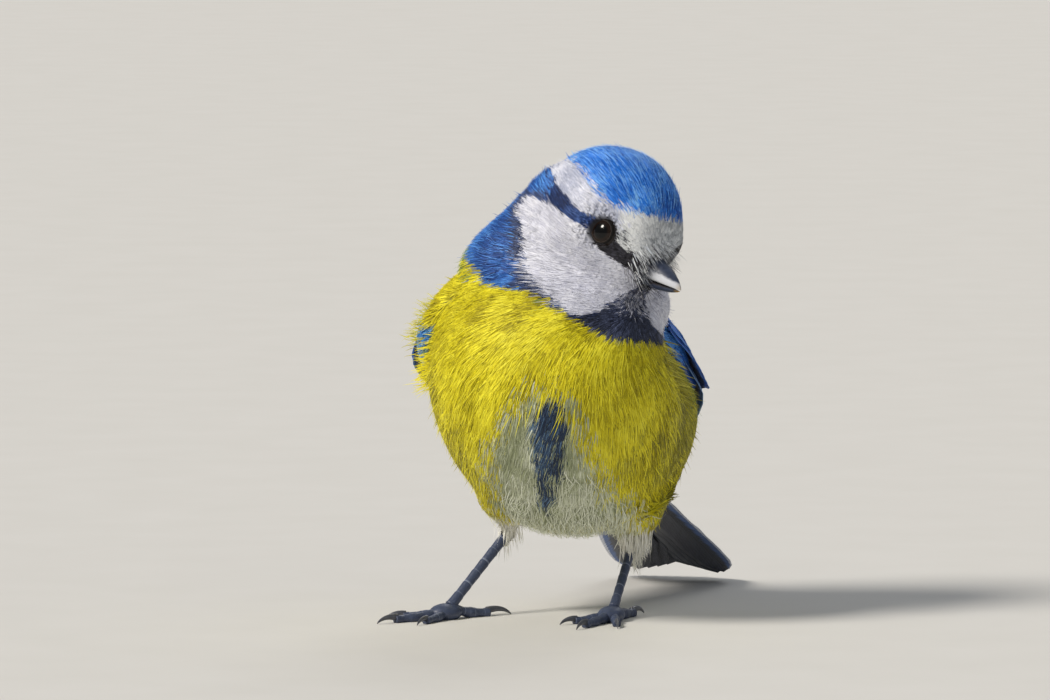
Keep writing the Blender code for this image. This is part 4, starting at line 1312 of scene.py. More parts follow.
@dataclass(frozen=True)
class Loose:
    """Long loose fibres of one place, which lie over the coat and stand a little off it."""

    name: str
    patch: Patch
    slot: str
    nodes: tuple[str, ...]
    at: tuple[float, float, float]  # the middle of their place, along, aside and up
    reach: tuple[float, float, float]
    crowd: float  # to a square millimetre
    length: tuple[float, float]
    thick: float
    lift: tuple[float, float]
    on_head: bool = False  # whether the place is given in the head's own directions
    on_wing: bool = False  # whether they grow on the right wing's shoulder
    only: tuple[Patch, ...] = ()
    toward: tuple[float, float, float] | None = None  # None where they lie as the feathers do
    aim: tuple[float, float, float] | None = None  # a place on the body that they all point to
    drop: float = 0.0  # how far they sag, as a share of their length
    wave: float = 0.0
    light: tuple[float, float] = (0.3, 1.0)  # from the patch's own colour to its light one; the lighter strands are partly painted highlight
    jitter: float = 7.0  # degrees
    stations: int = 6

    def grown(self, hide: Hide, markings: Markings, lie: Lie, dice: np.random.Generator) -> Fibres:
        """Grows the fibres on a surface.

        Args:
            hide: the surface.
            markings: where each patch of the plumage lies.
            lie: which way the plumage lies, and how deep it is.
            dice: the random draws.

        Returns:
            The fibres.
        """
        axes = POSTURE.head if self.on_head else POSTURE.body
        numbers = [PATCHES.index(p) for p in self.only]

        def density(points: Array) -> Array:
            """Gives how many fibres there are to a square millimetre.

            Args:
                points: places in millimetres.

            Returns:
                The crowd at each place.
            """
            away = (axes.local(points) - self.at) / self.reach
            found = self.crowd * edge(1 - np.linalg.norm(away, axis=1), 0.15)
            if numbers:
                found = found * np.isin(markings.chosen(points, np.full(len(points), 0.5)), numbers)
            return found * (POSTURE.eye_gap(points) > 3.2)

        points, normals, unwrap = hide.scatter(density, dice)
        count = len(points)
        length = dice.uniform(*self.length, count)[:, None]
        if self.toward is None:
            flow = lie.heading(points, normals)
        else:
            sign = np.sign(axes.local(points)[:, 1:2] + 1e-6)
            ahead, aside, up = self.toward
            flow = unit(axes.forward * ahead + axes.left * aside * sign + axes.up * up)
        if self.aim is not None:
            flow = unit(POSTURE.body.at(*self.aim) - points)
        flow = unit(flow + dice.normal(0, math.tan(math.radians(self.jitter)), (count, 3)))
        if self.toward is None:
            flow = level(flow, normals)
            middle, out_1 = hide.landed(points + flow * length / 2)
            end, out_2 = hide.landed(middle + level(flow, out_1) * length / 2)
        else:
            sag = np.array((0.0, 0.0, self.drop)) * length
            middle, end = points + flow * length / 2 - sag / 4, points + flow * length - sag
            out_1 = out_2 = normals
        t = np.linspace(0, 1, self.stations)[None, :, None]
        p0, p1, p2 = (p[:, None] for p in (points, middle, end))
        n0, n1, n2 = (n[:, None] for n in (normals, unit(out_1), unit(out_2)))
        share_0, share_1, share_2 = (1 - t) * (1 - 2 * t), 4 * t * (1 - t), t * (2 * t - 1)
        outs = unit(n0 * share_0 + n1 * share_1 + n2 * share_2)
        over = (lie.depth(points) * dice.uniform(0.7, 1.0, count))[:, None, None]
        lift = dice.uniform(*self.lift, count)[:, None, None]
        height = over * (1 - (1 - t) ** 2) - 0.12 * (1 - t) ** 3 + lift * t**1.4
        across = unit(np.cross(n1, p2 - p0))
        turn = dice.random((count, 1, 1))
        bend = self.wave * np.sin(2 * math.pi * (1.2 * t + turn)) * t * dice.normal(0, 1, (count, 1, 1))
        paths = p0 * share_0 + p1 * share_1 + p2 * share_2 + outs * height + across * bend
        widths = self.thick * np.sqrt(1 - t[0, 1:-1, 0])[None, :] * dice.uniform(0.7, 1.2, (count, 1))
        base, light = linear(self.patch.value.base), linear(self.patch.value.light)
        colours = base + (light - base) * dice.uniform(*self.light, (count, 1))
        finish = np.full(count, PATCHES.index(self.patch))
        return Fibres(
            paths, outs, widths, colours, finish, unwrap, np.zeros(count), 1.0, ridge=0.2,
            from_root=(0.8, 1.05),
        )


BODY, HEAD = ("plumage_body", ("torso",)), ("plumage_head", ("head",))
THIGH, NAPE = ("thigh_feathers", ("thigh_left", "thigh_right")), ("plumage_neck", ("neck",))
LOOSE = (
    # Partly painted highlight: long strands lighter than the breast
    Loose("breast_streaks", Patch.BREAST, *BODY, (12, 0, -12), (19, 24, 22), 0.35, (6, 9), 0.15,
          (0, 0.35), only=(Patch.BREAST,)),
    Loose("shoulder_wisps", Patch.FLANK, *BODY, (13, -22, 6.5), (4, 5, 6), 2.2, (1.8, 3.2), 0.15,
          (0, 0.25), on_wing=True, toward=(-0.5, 0.75, 0.25), drop=0.15, wave=0.2, jitter=16),
    Loose("far_shoulder_locks", Patch.FLANK, *BODY, (8, 19, 5), (9.5, 4.5, 6.5), 2.1, (3.5, 6.2), 0.2,
          (0.4, 0.9), only=(Patch.BREAST, Patch.FLANK), toward=(-1, 0.12, 0.03), light=(-0.5, 1)),
    Loose("near_shoulder_locks", Patch.BREAST, *BODY, (12, -20.5, 4), (8, 4.2, 6), 3.2, (3.2, 5.2),
          0.17, (0.3, 0.9), only=(Patch.BREAST, Patch.FLANK), toward=(-0.85, 0.42, 0.08), jitter=9,
          light=(-0.4, 0.8)),
    Loose("belly_wisps", Patch.PALE, *BODY, (-2, 3, -17), (15, 11, 9), 1.4, (5, 8.5), 0.19,
          (0.15, 0.7), only=(Patch.PALE, Patch.VENT), wave=0.6, stations=7),
    Loose("left_thigh_fluff", Patch.THIGH, THIGH[0], THIGH[1][:1], (-17.5, 9.8, -15.5), (5, 3.1, 4.5),
          5, (4.5, 8), 0.22, (0, 0.3), toward=(0, 0, -1), aim=(-27, 8.4, -16.5), wave=0.2, jitter=6,
          light=(-0.6, 1)),
    Loose("right_thigh_fluff", Patch.THIGH, THIGH[0], THIGH[1][1:], (-15, -11, -16.5), (4, 3, 3), 1.6,
          (2, 3.2), 0.16, (0, 0.3), toward=(-0.62, 0, -0.79), drop=0.1),
    Loose("bill_bristles", Patch.LORE, *HEAD, (11, -0.8, -3.8), (3.2, 4.6, 4.2), 4.5, (1.6, 2.9),
          0.085, (0, 0.3), on_head=True, toward=(0.9, 0.05, -0.32), jitter=11),
    Loose("nostril_feathers", Patch.FOREHEAD, *HEAD, (11, 0, -2.6), (3, 4.8, 3.6), 7, (1.4, 2.6), 0.1,
          (0, 0.3), on_head=True, toward=(0.9, 0.05, -0.42), light=(-1.2, 0.8)),
    Loose("chin_streaks", Patch.CHIN, *HEAD, (9.5, 0, -9), (3.5, 5, 3.4), 2.2, (1.4, 2.4), 0.09,
          (0.05, 0.3), on_head=True, only=(Patch.BIB, Patch.CHIN)),
    Loose("nape_streaks", Patch.NECK, *NAPE, (-13, 0, -8), (10, 16, 15), 0.9, (3.5, 5.5), 0.12,
          (0.1, 0.9), on_head=True, only=(Patch.NECK,)),
    Loose("cheek_streaks", Patch.CHEEK, *HEAD, (0, 0, -8), (15, 20, 8), 2.6, (3, 4.5), 0.09,
          (0, 0.08), on_head=True, only=(Patch.CHEEK,), jitter=4),
    Loose("crown_streaks", Patch.CAP, *HEAD, (0, 0, 8), (13, 13, 9), 2.2, (2.6, 4.2), 0.1, (0, 0.1),
          on_head=True, only=(Patch.CAP,), light=(0.1, 1), jitter=4),
)


@dataclass
class Flesh:
    """The skin of the head, neck, body and thighs: one smooth closed form under the feathers."""

    markings: Markings
    lie: Lie
    nodes: tuple[str, ...] = ("head", "neck", "torso", "rump", "thigh_left", "thigh_right")
    grow: float = 0.35  # closes the thin cuts between the solids before they are meshed as one
    voxel: float = 0.55
    smoothing: int = 8
    # The body's pointed end under the tail's root: along, half-width, above, below, rise
    coverts: Stations = (
        (-34.0, 2.0, 1.0, 1.8, 1.3), (-29.0, 7.4, 3.6, 6.8, 0.8), (-21.0, 13.9, 8.0, 13.5, 0.2),
        (-17.0, 10.0, 6.0, 9.0, 0.0),
    )

    def build(self) -> bpy.types.Object:
        """Makes the skin as one piece with its markings, unwrap and finish.

        Returns:
            What is made.
        """
        parts = MeshParts()
        for name in self.nodes:
            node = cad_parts[name]
            node.data.calc_loop_triangles()
            triangles = read(node.data.loop_triangles, "vertices", 3, np.int32)
            parts.add(self.swollen(points_of(node), triangles), triangles)
        for extra, quads in [self.tail_end()] + [self.socket(side) for side in Side]:
            parts.add(extra, np.concatenate([quads[:, (0, 1, 2)], quads[:, (0, 2, 3)]]))
        made = parts.build("skin")
        remesh = made.modifiers.new("one form", "REMESH")
        remesh.mode = "VOXEL"
        remesh.voxel_size = self.voxel / MM_PER_METRE
        smooth = made.modifiers.new("soft creases", "SMOOTH")
        smooth.factor = 0.5
        smooth.iterations = self.smoothing
        applied(made)
        self.sink(made)
        self.unwrap(made)
        made.data.materials.append(FeatherBases().material())
        return made

    def swollen(self, points: Array, triangles: Array) -> Array:
        """Moves a solid's points out along their normals by the growth.

        Args:
            points: places in millimetres.
            triangles: rows of point numbers.

        Returns:
            The moved points.
        """
        where, index = np.unique(np.round(points, 3), axis=0, return_inverse=True)
        index = index.ravel()
        tri = index[triangles]
        a, b, c = (where[tri[:, k]] for k in range(3))
        normal = np.cross(b - a, c - a)
        total = np.zeros_like(where)
        for k in range(3):
            np.add.at(total, tri[:, k], normal)
        return points + unit(total)[index] * self.grow

    def tail_end(self) -> tuple[Array, Array]:
        """Makes the pointed end of the body, over and under the tail's root.

        Returns:
            Its points and faces.
        """
        rings = []
        angle = np.linspace(0, 2 * math.pi, 32, endpoint=False)
        for along in np.linspace(self.coverts[0][0], self.coverts[-1][0], 14):
            width, above, below, rise = along_curve(self.coverts, np.array(along))
            up = rise + np.where(np.sin(angle) > 0, above, below) * np.sin(angle)
            rings.append(POSTURE.body.at(np.full(32, along), width * np.cos(angle), up))
        return closed_tube(np.array(rings))

    def socket(self, side: Side) -> tuple[Array, Array]:
        """Fills an eye's socket, so that the eye sits in the skin without a gap.

        Args:
            side: which eye.

        Returns:
            Its points and faces.
        """
        centre, out = POSTURE.eye_centre(side), POSTURE.eye_axis(side)
        steps = np.linspace(-3.3, 2.6, 12)
        radii = np.sqrt(np.maximum(3.4**2 - steps**2, 0.3)) * np.clip((3.0 - steps) / 1.2, 0.35, 1.0)
        path = centre + np.outer(steps, out)
        return closed_tube(tube_rings(path, radii, 24))

    def sink(self, made: bpy.types.Object) -> None:
        """Moves the skin in by the depth of the coat, and marks it with the plumage's colours.

        Args:
            made: the piece.
        """
        points, normals = points_of(made), read(made.data.vertices, "normal", 3)
        on_head = POSTURE.head.local(points)
        inward = self.lie.depth(points) + self.grow - bumps(on_head, FAR_SWELLS)
        on_head[:, 1] = np.abs(on_head[:, 1])
        inward = inward - bumps(on_head, SWELLS)
        inward = inward + 0.3 * np.clip(1 - (POSTURE.eye_gap(points, 0.0) - 3.0) / 1.5, 0, 1)
        points = self.slim_ankle(drawn_in(points - normals * inward[:, None]))
        made.data.vertices.foreach_set("co", to_metres(points).astype(np.float32).ravel())
        made.data.update()
        tint(made, self.markings.blended(points))

    def slim_ankle(self, points: Array) -> Array:
        """Draws the end of the right thigh in towards its leg.

        Args:
            points: places in millimetres.

        Returns:
            The moved places.
        """
        knee, ankle = np.array(self.lie.knees[0]), np.array(Markings.ankles[0])
        line = unit(ankle - knee)
        away = points - ankle
        along = away @ line
        aside = away - along[:, None] * line
        share = edge(4.8 - np.linalg.norm(away - np.clip(along, 0, 9)[:, None] * line, axis=1), 3.0)
        return points - aside * (0.5 * share)[:, None]

    def unwrap(self, made: bpy.types.Object) -> None:
        """Unwraps the skin's own shape, for the feathers' places.

        Args:
            made: the piece.
        """
        made.data.uv_layers.new(name="OFBake")
        bpy.context.view_layer.objects.active = made
        bpy.ops.object.mode_set(mode="EDIT")
        bpy.ops.mesh.select_all(action="SELECT")
        bpy.ops.uv.smart_project(angle_limit=math.radians(70), island_margin=0.004)
        bpy.ops.object.mode_set(mode="OBJECT")


# ---------------------------------------------------------------------------- wings and tail


@dataclass(frozen=True)
class VaneFinish:
    """A stiff feather: a dark vane of keratin barbs with a blue outer edge, pale at its tip."""

    name: str
    inner: str
    outer: str
    rim: str
    tip: str
    edge_share: float = 0.45  # of the half-width, where the outer colour starts
    rim_share: float = 0.86
    tip_share: float = 0.0  # of the length
    roughness: float = 0.42
    barb_spacing: float = 0.24  # mm; real barbs are finer, and would not show

    def material(self) -> bpy.types.Material:
        """Makes the vane's material from the place along and across each feather.

        Returns:
            The material.
        """
        made = Finish(self.name, Roughness=self.roughness, Specular_IOR_Level=0.4, Sheen_Weight=0.1)
        place = made.add("Attribute", out="Vector", attribute_name="vane")
        size = made.add("Attribute", out="Vector", attribute_name="vane_mm")
        u, v, seed = made.add("SeparateXYZ", (place,)).node.outputs
        along, across, _ = made.add("SeparateXYZ", (size,)).node.outputs

        # Barbs leave the shaft at about 35 degrees and lean to the tip
        lean = made.add("Math", (across, -0.82), operation="MULTIPLY")
        barb = made.add("Math", (along, 0.57, lean), operation="MULTIPLY_ADD")
        aside = made.add("Math", (across, 0.12), operation="MULTIPLY")
        cell = made.add("CombineXYZ", (barb, aside, seed))
        streak = made.add("TexNoise", {"Vector": cell, "Scale": 1 / self.barb_spacing, "Detail": 3.0})
        turn = made.add("Math", (barb, 2 * math.pi / self.barb_spacing), operation="MULTIPLY")
        ridge = made.add("Math", (turn,), operation="SINE")

        bands = [  # colour, how far out or along it starts, how ragged and how soft its edge is
            (self.outer, v, self.edge_share, 0.5, 0.12),
            (self.rim, v, self.rim_share, 0.2, 0.05),
            (self.tip, u, 0.99 - self.tip_share, 0.125, 0.02),
        ]
        colour = rgba(self.inner)
        for shade, reach, start, ragged, soft in bands if self.tip_share > 0 else bands[:2]:
            reached = made.add("Math", (streak, ragged, reach), operation="MULTIPLY_ADD")
            start += ragged / 2
            mask = made.add("MapRange", (reached, start - soft, start + soft))
            colour = made.add("Mix", {0: mask, 6: colour, 7: rgba(shade)}, 2, data_type="RGBA")
        shaft = made.add("MapRange", (across, 0.10, 0.22, 0.75, 0.0))
        colour = made.add("Mix", {0: shaft, 6: colour, 7: rgba("#15161c")}, 2, data_type="RGBA")
        shade = made.add("MapRange", (streak, 0.25, 0.75, 0.62, 1.25))
        colour = made.add("HueSaturation", {"Color": colour, "Value": shade})
        height = made.add("Math", (streak, 1.5, ridge), operation="MULTIPLY_ADD")
        bump = made.add("Bump", {"Height": height, "Strength": 0.55, "Distance": 0.00005})
        return made.end(Base_Color=colour, Normal=bump)


@dataclass(frozen=True)
class FeatherRow:
    """One tier of feathers on a wing, from the lowest on the flank to the highest on the back."""

    name: str
    count: int
    roots: tuple[float, float]
    tips: tuple[float, float]
    root_share: tuple[float, float]
    tip_share: tuple[float, float]
    half_width: float
    height: float
    step: float
    tilt: float
    finish: VaneFinish


VANE_DARK = VaneFinish(
    "slate_flight_feather", "#2c3140", "#2f62b4", "#7fa8dc", "#cfd6e2", 0.35, 0.84
)
VANE_SECONDARY = VaneFinish(
    "blue_edged_secondary", "#2b3242", "#2d6ac8", "#5b97e6", "#e8ecf2", 0.05, 0.88, 0.04
)
VANE_TERTIAL = VaneFinish(
    "blue_grey_tertial", "#34465f", "#3b6db2", "#5c8fd2", "#f0f1f4", 0.1, 0.86, 0.09
)
VANE_PRIMARY_COVERT = VaneFinish(
    "deep_blue_primary_covert", "#1f2c4c", "#2459b8", "#3f7ad8", "#cfd6e2", 0.0, 0.9
)
VANE_GREATER = VaneFinish(
    "white_tipped_greater_covert", "#24406e", "#2d6fcf", "#4d8fe6", "#f4f5f8", -0.4, 0.9, 0.17
)
VANE_MEDIAN = VaneFinish(
    "cobalt_median_covert", "#2558b4", "#2f72d8", "#5a9bee", "#5a9bee", -0.6, 0.9
)
VANE_TAIL = VaneFinish(
    "cobalt_edged_tail_feather", "#2a2f3c", "#28569f", "#4a7cc4", "#9fb2cf", 0.35, 0.88
)
VANE_TAIL_OUTER = VaneFinish(
    "pale_edged_outer_tail_feather", "#2a2f3c", "#44639b", "#d6dae6", "#9fb2cf", 0.4, 0.8
)

OUTLINE = (  # share of the length, share of the half-width
    (0.0, 0.5), (0.12, 0.82), (0.35, 1.0), (0.68, 1.0), (0.86, 0.86), (0.95, 0.56), (1.0, 0.10),
)


@dataclass
class VaneBuilder:
    """Makes thin curved feathers with a raised shaft, as closed sheets."""

    rows: int = 18
    columns: int = 10
    thick: float = 0.26
    thin: float = 0.07
    shaft: float = 0.12

    def add(self, parts: MeshParts, place: Callable[[Array, Array, Array], Array], length: float,
            half_width: float, height: float, tilt: float, outward: float, seed: float,
            outline: Stations = OUTLINE, narrow: float = 1.0) -> None:
        """Adds one feather to a piece.

        Args:
            parts: the piece.
            place: gives places from the share along, the distance across and the lift.
            length: in millimetres.
            half_width: in millimetres.
            height: of its middle over the surface that it lies on.
            tilt: how much higher its outer edge is than its middle.
            outward: the sign of the outer web's side.
            seed: of its own small variations.
            outline: the share of the half-width along it.
            narrow: the share of the half-width that the outer web has.
        """
        dice = np.random.default_rng(int(seed * 7919) + SEED)
        u = (1 - (1 - np.linspace(0, 1, self.rows)) ** 1.25)[:, None]
        v = np.linspace(-1, 1, self.columns + 1)[None, :]
        half = along_curve(outline, u[:, 0])[:, 0][:, None] * half_width
        ragged = 1 + dice.normal(0, 0.035, (self.rows, 1)) * (np.abs(v) > 0.9) * np.clip(u * 3, 0, 1)
        web = np.where(v * outward > 0, narrow, 2 - narrow)
        across = v * half * web * ragged
        sunk = 1 - 0.3 * (1 - np.minimum(u / 0.3, 1))
        camber = 0.22 * half_width * 0.5 * (1 - v**2)
        lift = height * sunk + tilt * v * outward
        lift = lift + camber * np.clip(1 - u * 0.5, 0, 1) - camber.max() * 0.5
        wave = 0.05 * np.sin(u * 9 + seed * 5) * v
        thicker = (self.thick - self.thin) * np.exp(-((across / 0.35) ** 2))
        thickness = self.thin + thicker * (1 - 0.6 * u)
        ridge = self.shaft * np.exp(-((across / 0.16) ** 2)) * (1 - 0.7 * u)
        u_full = np.broadcast_to(u, across.shape)
        top = place(u_full, across, lift + wave + thickness / 2 + ridge)
        under = place(u_full, across, lift + wave - thickness / 2)
        seeds, outer = np.full(across.shape, seed), np.broadcast_to(v * outward, across.shape)
        vane = np.stack([u_full, outer, seeds], axis=-1).reshape(-1, 3)
        mm = np.stack([u_full * length, np.abs(across)], axis=-1).reshape(-1, 2)
        parts.add(*closed_sheet(top, under), vane=np.tile(vane, (2, 1)), vane_mm=np.tile(mm, (2, 1)))


@dataclass
class Wing:
    """A folded wing: tiers of stiff feathers over a shoulder of small soft ones."""

    side: Side
    builder: VaneBuilder
    lower: float
    upper: float
    breast_to: Stations  # along the body, the share of the breadth that breast feathers cover
    back_from: float = 0.86  # the share from which back feathers cover it
    envelope: Stations = (  # along the body, reach to the side, height over the back
        (-50, 4.2, 5.2), (-40, 6.4, 5.6), (-30, 10.6, 6), (-21, 15.8, 9.1), (-12, 19.8, 13.3),
        (-3, 22, 16.5), (6, 22.5, 19), (14, 21.2, 19), (22, 17.4, 16.6),
    )
    core_front: Stations = ()  # the first stations of the core, which differ between the wings
    core: Stations = (  # along the body, share of the wing's breadth, height of the outer face
        (-6, 1, 1.9), (1, 1, 1.5), (7, 0.92, 1), (9.5, 0.7, 0.6),
    )
    rows: tuple[FeatherRow, ...] = (
        FeatherRow("primaries", 9, (1, 0), (-43.5, -29), (0.08, 0.36), (0.34, 0.74), 2.2, 0.3, 0.11,
                   0.3, VANE_DARK),
        FeatherRow("secondaries", 6, (0, 0.5), (-29.5, -22), (0.38, 0.72), (0.42, 0.82), 2.8, 0.8,
                   0.1, 0.45, VANE_SECONDARY),
        FeatherRow("tertials", 3, (1, 2), (-23.5, -13.5), (0.76, 0.98), (0.76, 0.99), 3.2, 1.3, 0.14,
                   0.5, VANE_TERTIAL),
        FeatherRow("alula", 3, (7.5, 7), (-1.5, 0.5), (0.06, 0.14), (0.08, 0.16), 1.5, 1.5, 0.12,
                   0.3, VANE_PRIMARY_COVERT),
        FeatherRow("primary_coverts", 6, (9, 8), (-10, -7), (0.08, 0.28), (0.11, 0.31), 1.9, 1.45,
                   0.08, 0.4, VANE_PRIMARY_COVERT),
        FeatherRow("greater_coverts", 9, (6, 6), (-9.6, -7), (0.3, 0.96), (0.32, 0.94), 2.3, 1.75,
                   0.02, 0.45, VANE_GREATER),
        FeatherRow("median_coverts", 8, (8.5, 8.5), (0.2, 1.6), (0.14, 0.93), (0.16, 0.95), 2.5,
                   1.75, 0, 0.45, VANE_MEDIAN),
    )

    def around(self, share: Array) -> Array:
        """Gives degrees up from the flank's middle for a share of the wing's breadth."""
        return self.lower + (self.upper - self.lower) * np.asarray(share, float)

    def place(self, along: Array, around: Array, height: Array) -> Array:
        """Gives places over the folded wing.

        Args:
            along: distance along the body.
            around: degrees up from the flank's middle.
            height: over the envelope.

        Returns:
            The places in millimetres.
        """
        shape = along_curve(self.envelope, along)
        reach, rise = shape[..., 0], shape[..., 1]
        angle = np.radians(around)
        out = unit(np.stack([np.cos(angle) / reach, np.sin(angle) / rise], axis=-1))
        across = reach * np.cos(angle) + height * out[..., 0]
        up = rise * np.sin(angle) + height * out[..., 1]
        places = POSTURE.body.at(along, self.side.value * across, up)
        return drawn_in(places.reshape(-1, 3)).reshape(places.shape)

    def share_of(self, points: Array) -> Array:
        """Gives the share of the wing's breadth at places, 0 at its lower edge and 1 on the back.

        Args:
            points: places in millimetres.

        Returns:
            Shares of the breadth.
        """
        along, side, rise = POSTURE.body.local(points).T
        shape = along_curve(self.envelope, along)
        around = np.degrees(np.arctan2(rise / shape[:, 1], side * self.side.value / shape[:, 0]))
        return (around - self.lower) / (self.upper - self.lower)

    def covers(self, points: Array) -> Array:
        """Gives how far under the wing places are: below 0 outside it, in shares of its breadth.

        Args:
            points: places in millimetres.

        Returns:
            Shares of the breadth.
        """
        along, side, _ = POSTURE.body.local(points).T
        share = self.share_of(points)
        inside = np.where(side * self.side.value > 0, np.minimum(share, 1 - share), -1.0)
        return np.minimum(inside, np.minimum((15.0 - along) / 12.0, (along + 34.0) / 10.0))

    def row_piece(self, row: FeatherRow) -> bpy.types.Object:
        """Makes one tier of feathers as a piece.

        Args:
            row: the tier.

        Returns:
            The piece.
        """
        parts = MeshParts()
        for index in range(row.count):
            order = index / (row.count - 1)
            start, end, low, high = (
                a + (b - a) * order for a, b in (row.roots, row.tips, row.root_share, row.tip_share)
            )
            dice = np.random.default_rng(SEED + index * 31 + len(row.name))
            end += float(dice.normal(0, 0.25))
            root, tip = self.around(low), self.around(high)

            def place(u: Array, across: Array, lift: Array) -> Array:
                """Gives places on this feather.

                Args:
                    u: the share along it.
                    across: the distance across it.
                    lift: the height over the surface.

                Returns:
                    The places in millimetres.
                """
                along = start + (end - start) * u
                around = root + (tip - root) * u
                shape = along_curve(self.envelope, along)
                angle = np.radians(around)
                arm = np.hypot(shape[..., 0] * np.sin(angle), shape[..., 1] * np.cos(angle))
                return self.place(along, around + np.degrees(across / arm), lift)

            self.builder.add(
                parts, place, abs(end - start), row.half_width, row.height + row.step * index,
                row.tilt, -1.0, index + 1 + 0.37 * len(row.name),
            )
        made = parts.build(f"wing_{self.side.word}_{row.name}")
        made.data.materials.append(row.finish.material())
        return made

    def shoulder(self) -> tuple[bpy.types.Object, int]:
        """Makes the padded front of the wing.

        Returns:
            The piece, and how many of its first faces are the outer side and the rim.
        """
        count_u, count_v = 34, 22
        core = (*self.core_front, *self.core)
        u = np.linspace(core[0][0], core[-1][0], count_u)
        shape = along_curve(core, u)
        share, outer = shape[:, :1], shape[:, 1:]
        v = np.linspace(-1, 1, count_v)[None, :]
        around = self.around(0.5 + 0.5 * share * v)
        along = np.broadcast_to(-u[:, None], around.shape)
        # The edges sink into the plumage
        height = outer * (1 - 0.3 * v * v) - (0.6 * outer + 0.6) * v**8
        top = self.place(along, around, height)
        under = self.place(along, around, np.minimum(0.2, height - 0.4))
        points, faces = closed_sheet(top, under, self.side is Side.LEFT)
        made = mesh_object(f"wing_{self.side.word}_shoulder", points, faces)
        tint(made, np.tile(linear(Patch.COVERT.value.dark), (len(points), 1)))
        spot_u, spot_v = np.linspace(0.05, 0.95, count_u), np.linspace(0.05, 0.45, count_v)
        spot = np.stack(np.meshgrid(spot_u, spot_v, indexing="ij"), axis=-1).reshape(-1, 2)
        lay_out(made, np.concatenate([spot, spot + (0.0, 0.5)]), faces)
        made.data.materials.append(FINISHES[Patch.COVERT])
        return made, len(faces) - (count_u - 1) * (count_v - 1)

    def small_coverts(self, hide: Hide, coat: Coat, dice: np.random.Generator) -> Tufts:
        """Lays small blue feathers over the shoulder, and those of breast and back over its edges.

        Args:
            hide: the surface that they grow on.
            coat: makes the feathers.
            dice: the random draws.

        Returns:
            The feathers.
        """
        body = POSTURE.body

        def crowd(points: Array) -> Array:
            """Gives feathers to a square millimetre, from the shoulder to the coverts' roots.

            Args:
                points: places in millimetres.

            Returns:
                The crowd at each place.
            """
            along, share = body.local(points)[:, 0], self.share_of(points)
            breast = edge(on_line(along, self.breast_to) - share, 0.03)
            rim = np.maximum(breast, edge(share - self.back_from, 0.03))
            clear = edge(-13.5 - POSTURE.head.local(points)[:, 2], 1.0)
            return np.maximum(edge(along - 3.5, 3.0), rim) * 3.6 * clear

        roots = hide.scatter(crowd, dice)
        points, normals, _ = roots
        along, share = body.local(points)[:, 0], self.share_of(points)
        flow = -body.forward + 0.12 * body.up + 0.5 * self.side.value * body.left
        draw = dice.random(len(points))
        inside = on_line(along, self.breast_to) - share
        breast = edge(inside, 0.04) > draw
        back = edge(share - self.back_from, 0.04) > draw
        patch = np.full(len(points), PATCHES.index(Patch.COVERT))
        # Painted highlight, partly the wing's own blue: the pale azure margin goes on the right wing
        # alone
        if self.side is Side.RIGHT:
            margin = edge(inside + 0.3, 0.06) * edge(along + 2.0, 3.0) > draw
            patch[margin] = PATCHES.index(Patch.WING_EDGE)
        patch[breast] = PATCHES.index(Patch.BREAST)
        patch[back] = PATCHES.index(Patch.MANTLE)
        lifted = np.where(breast | back, 0.35, -0.35)
        scale = np.where(back, 1.0, np.where(breast, 0.85, 0.6))
        return coat.grown(hide, roots, patch, dice, lifted, level(flow, normals), scale)

    def build(self) -> list[bpy.types.Object]:
        """Makes the tiers of the wing."""
        return [self.row_piece(row) for row in self.rows]


@dataclass
class Tail:
    """Twelve tail feathers, the middle pair on top and each next one a step lower."""

    builder: VaneBuilder
    count: int = 12
    half_width: float = 3.3
    length: float = 50.0
    spread: float = 1.55  # degrees from one feather to the next
    step: float = 0.3
    tilt: float = 0.25
    notch: float = 1.6
    outer_short: float = 1.2
    top: float = 1.4
    root_pitch: float = 0.35
    outline: Stations = (
        (0.0, 0.55), (0.2, 0.85), (0.5, 1.0), (0.8, 1.0), (0.92, 0.85), (0.98, 0.5), (1.0, 0.14),
    )

    def build(self) -> list[bpy.types.Object]:
        """Makes the tail as an inner piece and its outermost pair.

        Returns:
            What is made.
        """
        inner, outer = MeshParts(), MeshParts()
        for index in range(self.count):
            order = index - (self.count - 1) / 2
            outward = 1.0 if order > 0 else -1.0
            swing = math.radians(self.spread * order)
            outermost = abs(order) > self.count / 2 - 1
            notch = self.notch * (1 - abs(order) / (self.count / 2)) ** 2
            length = self.length - notch - (self.outer_short if outermost else 0.0)

            def place(u: Array, across: Array, lift: Array) -> Array:
                """Gives places on this feather.

                Args:
                    u: the share along it.
                    across: the distance across it.
                    lift: the height over the surface.

                Returns:
                    The places in millimetres.
                """
                along = -2.0 + (length + 2.0) * u
                reach = along * math.cos(swing) - across * math.sin(swing)
                side = along * math.sin(swing) + across * math.cos(swing) + self.root_pitch * order
                return POSTURE.tail.at(reach, side, lift)

            self.builder.add(
                outer if outermost else inner, place, length, self.half_width,
                self.top - self.step * abs(order), self.tilt, outward, index + 0.5, self.outline, 0.75,
            )
        pieces = []
        kinds = ((inner, "tail_fan", VANE_TAIL), (outer, "tail_outer_pair", VANE_TAIL_OUTER))
        for parts, name, finish in kinds:
            made = parts.build(name)
            made.data.materials.append(finish.material())
            pieces.append(made)
        return pieces


# ---------------------------------------------------------------------------- bill, eyes, legs


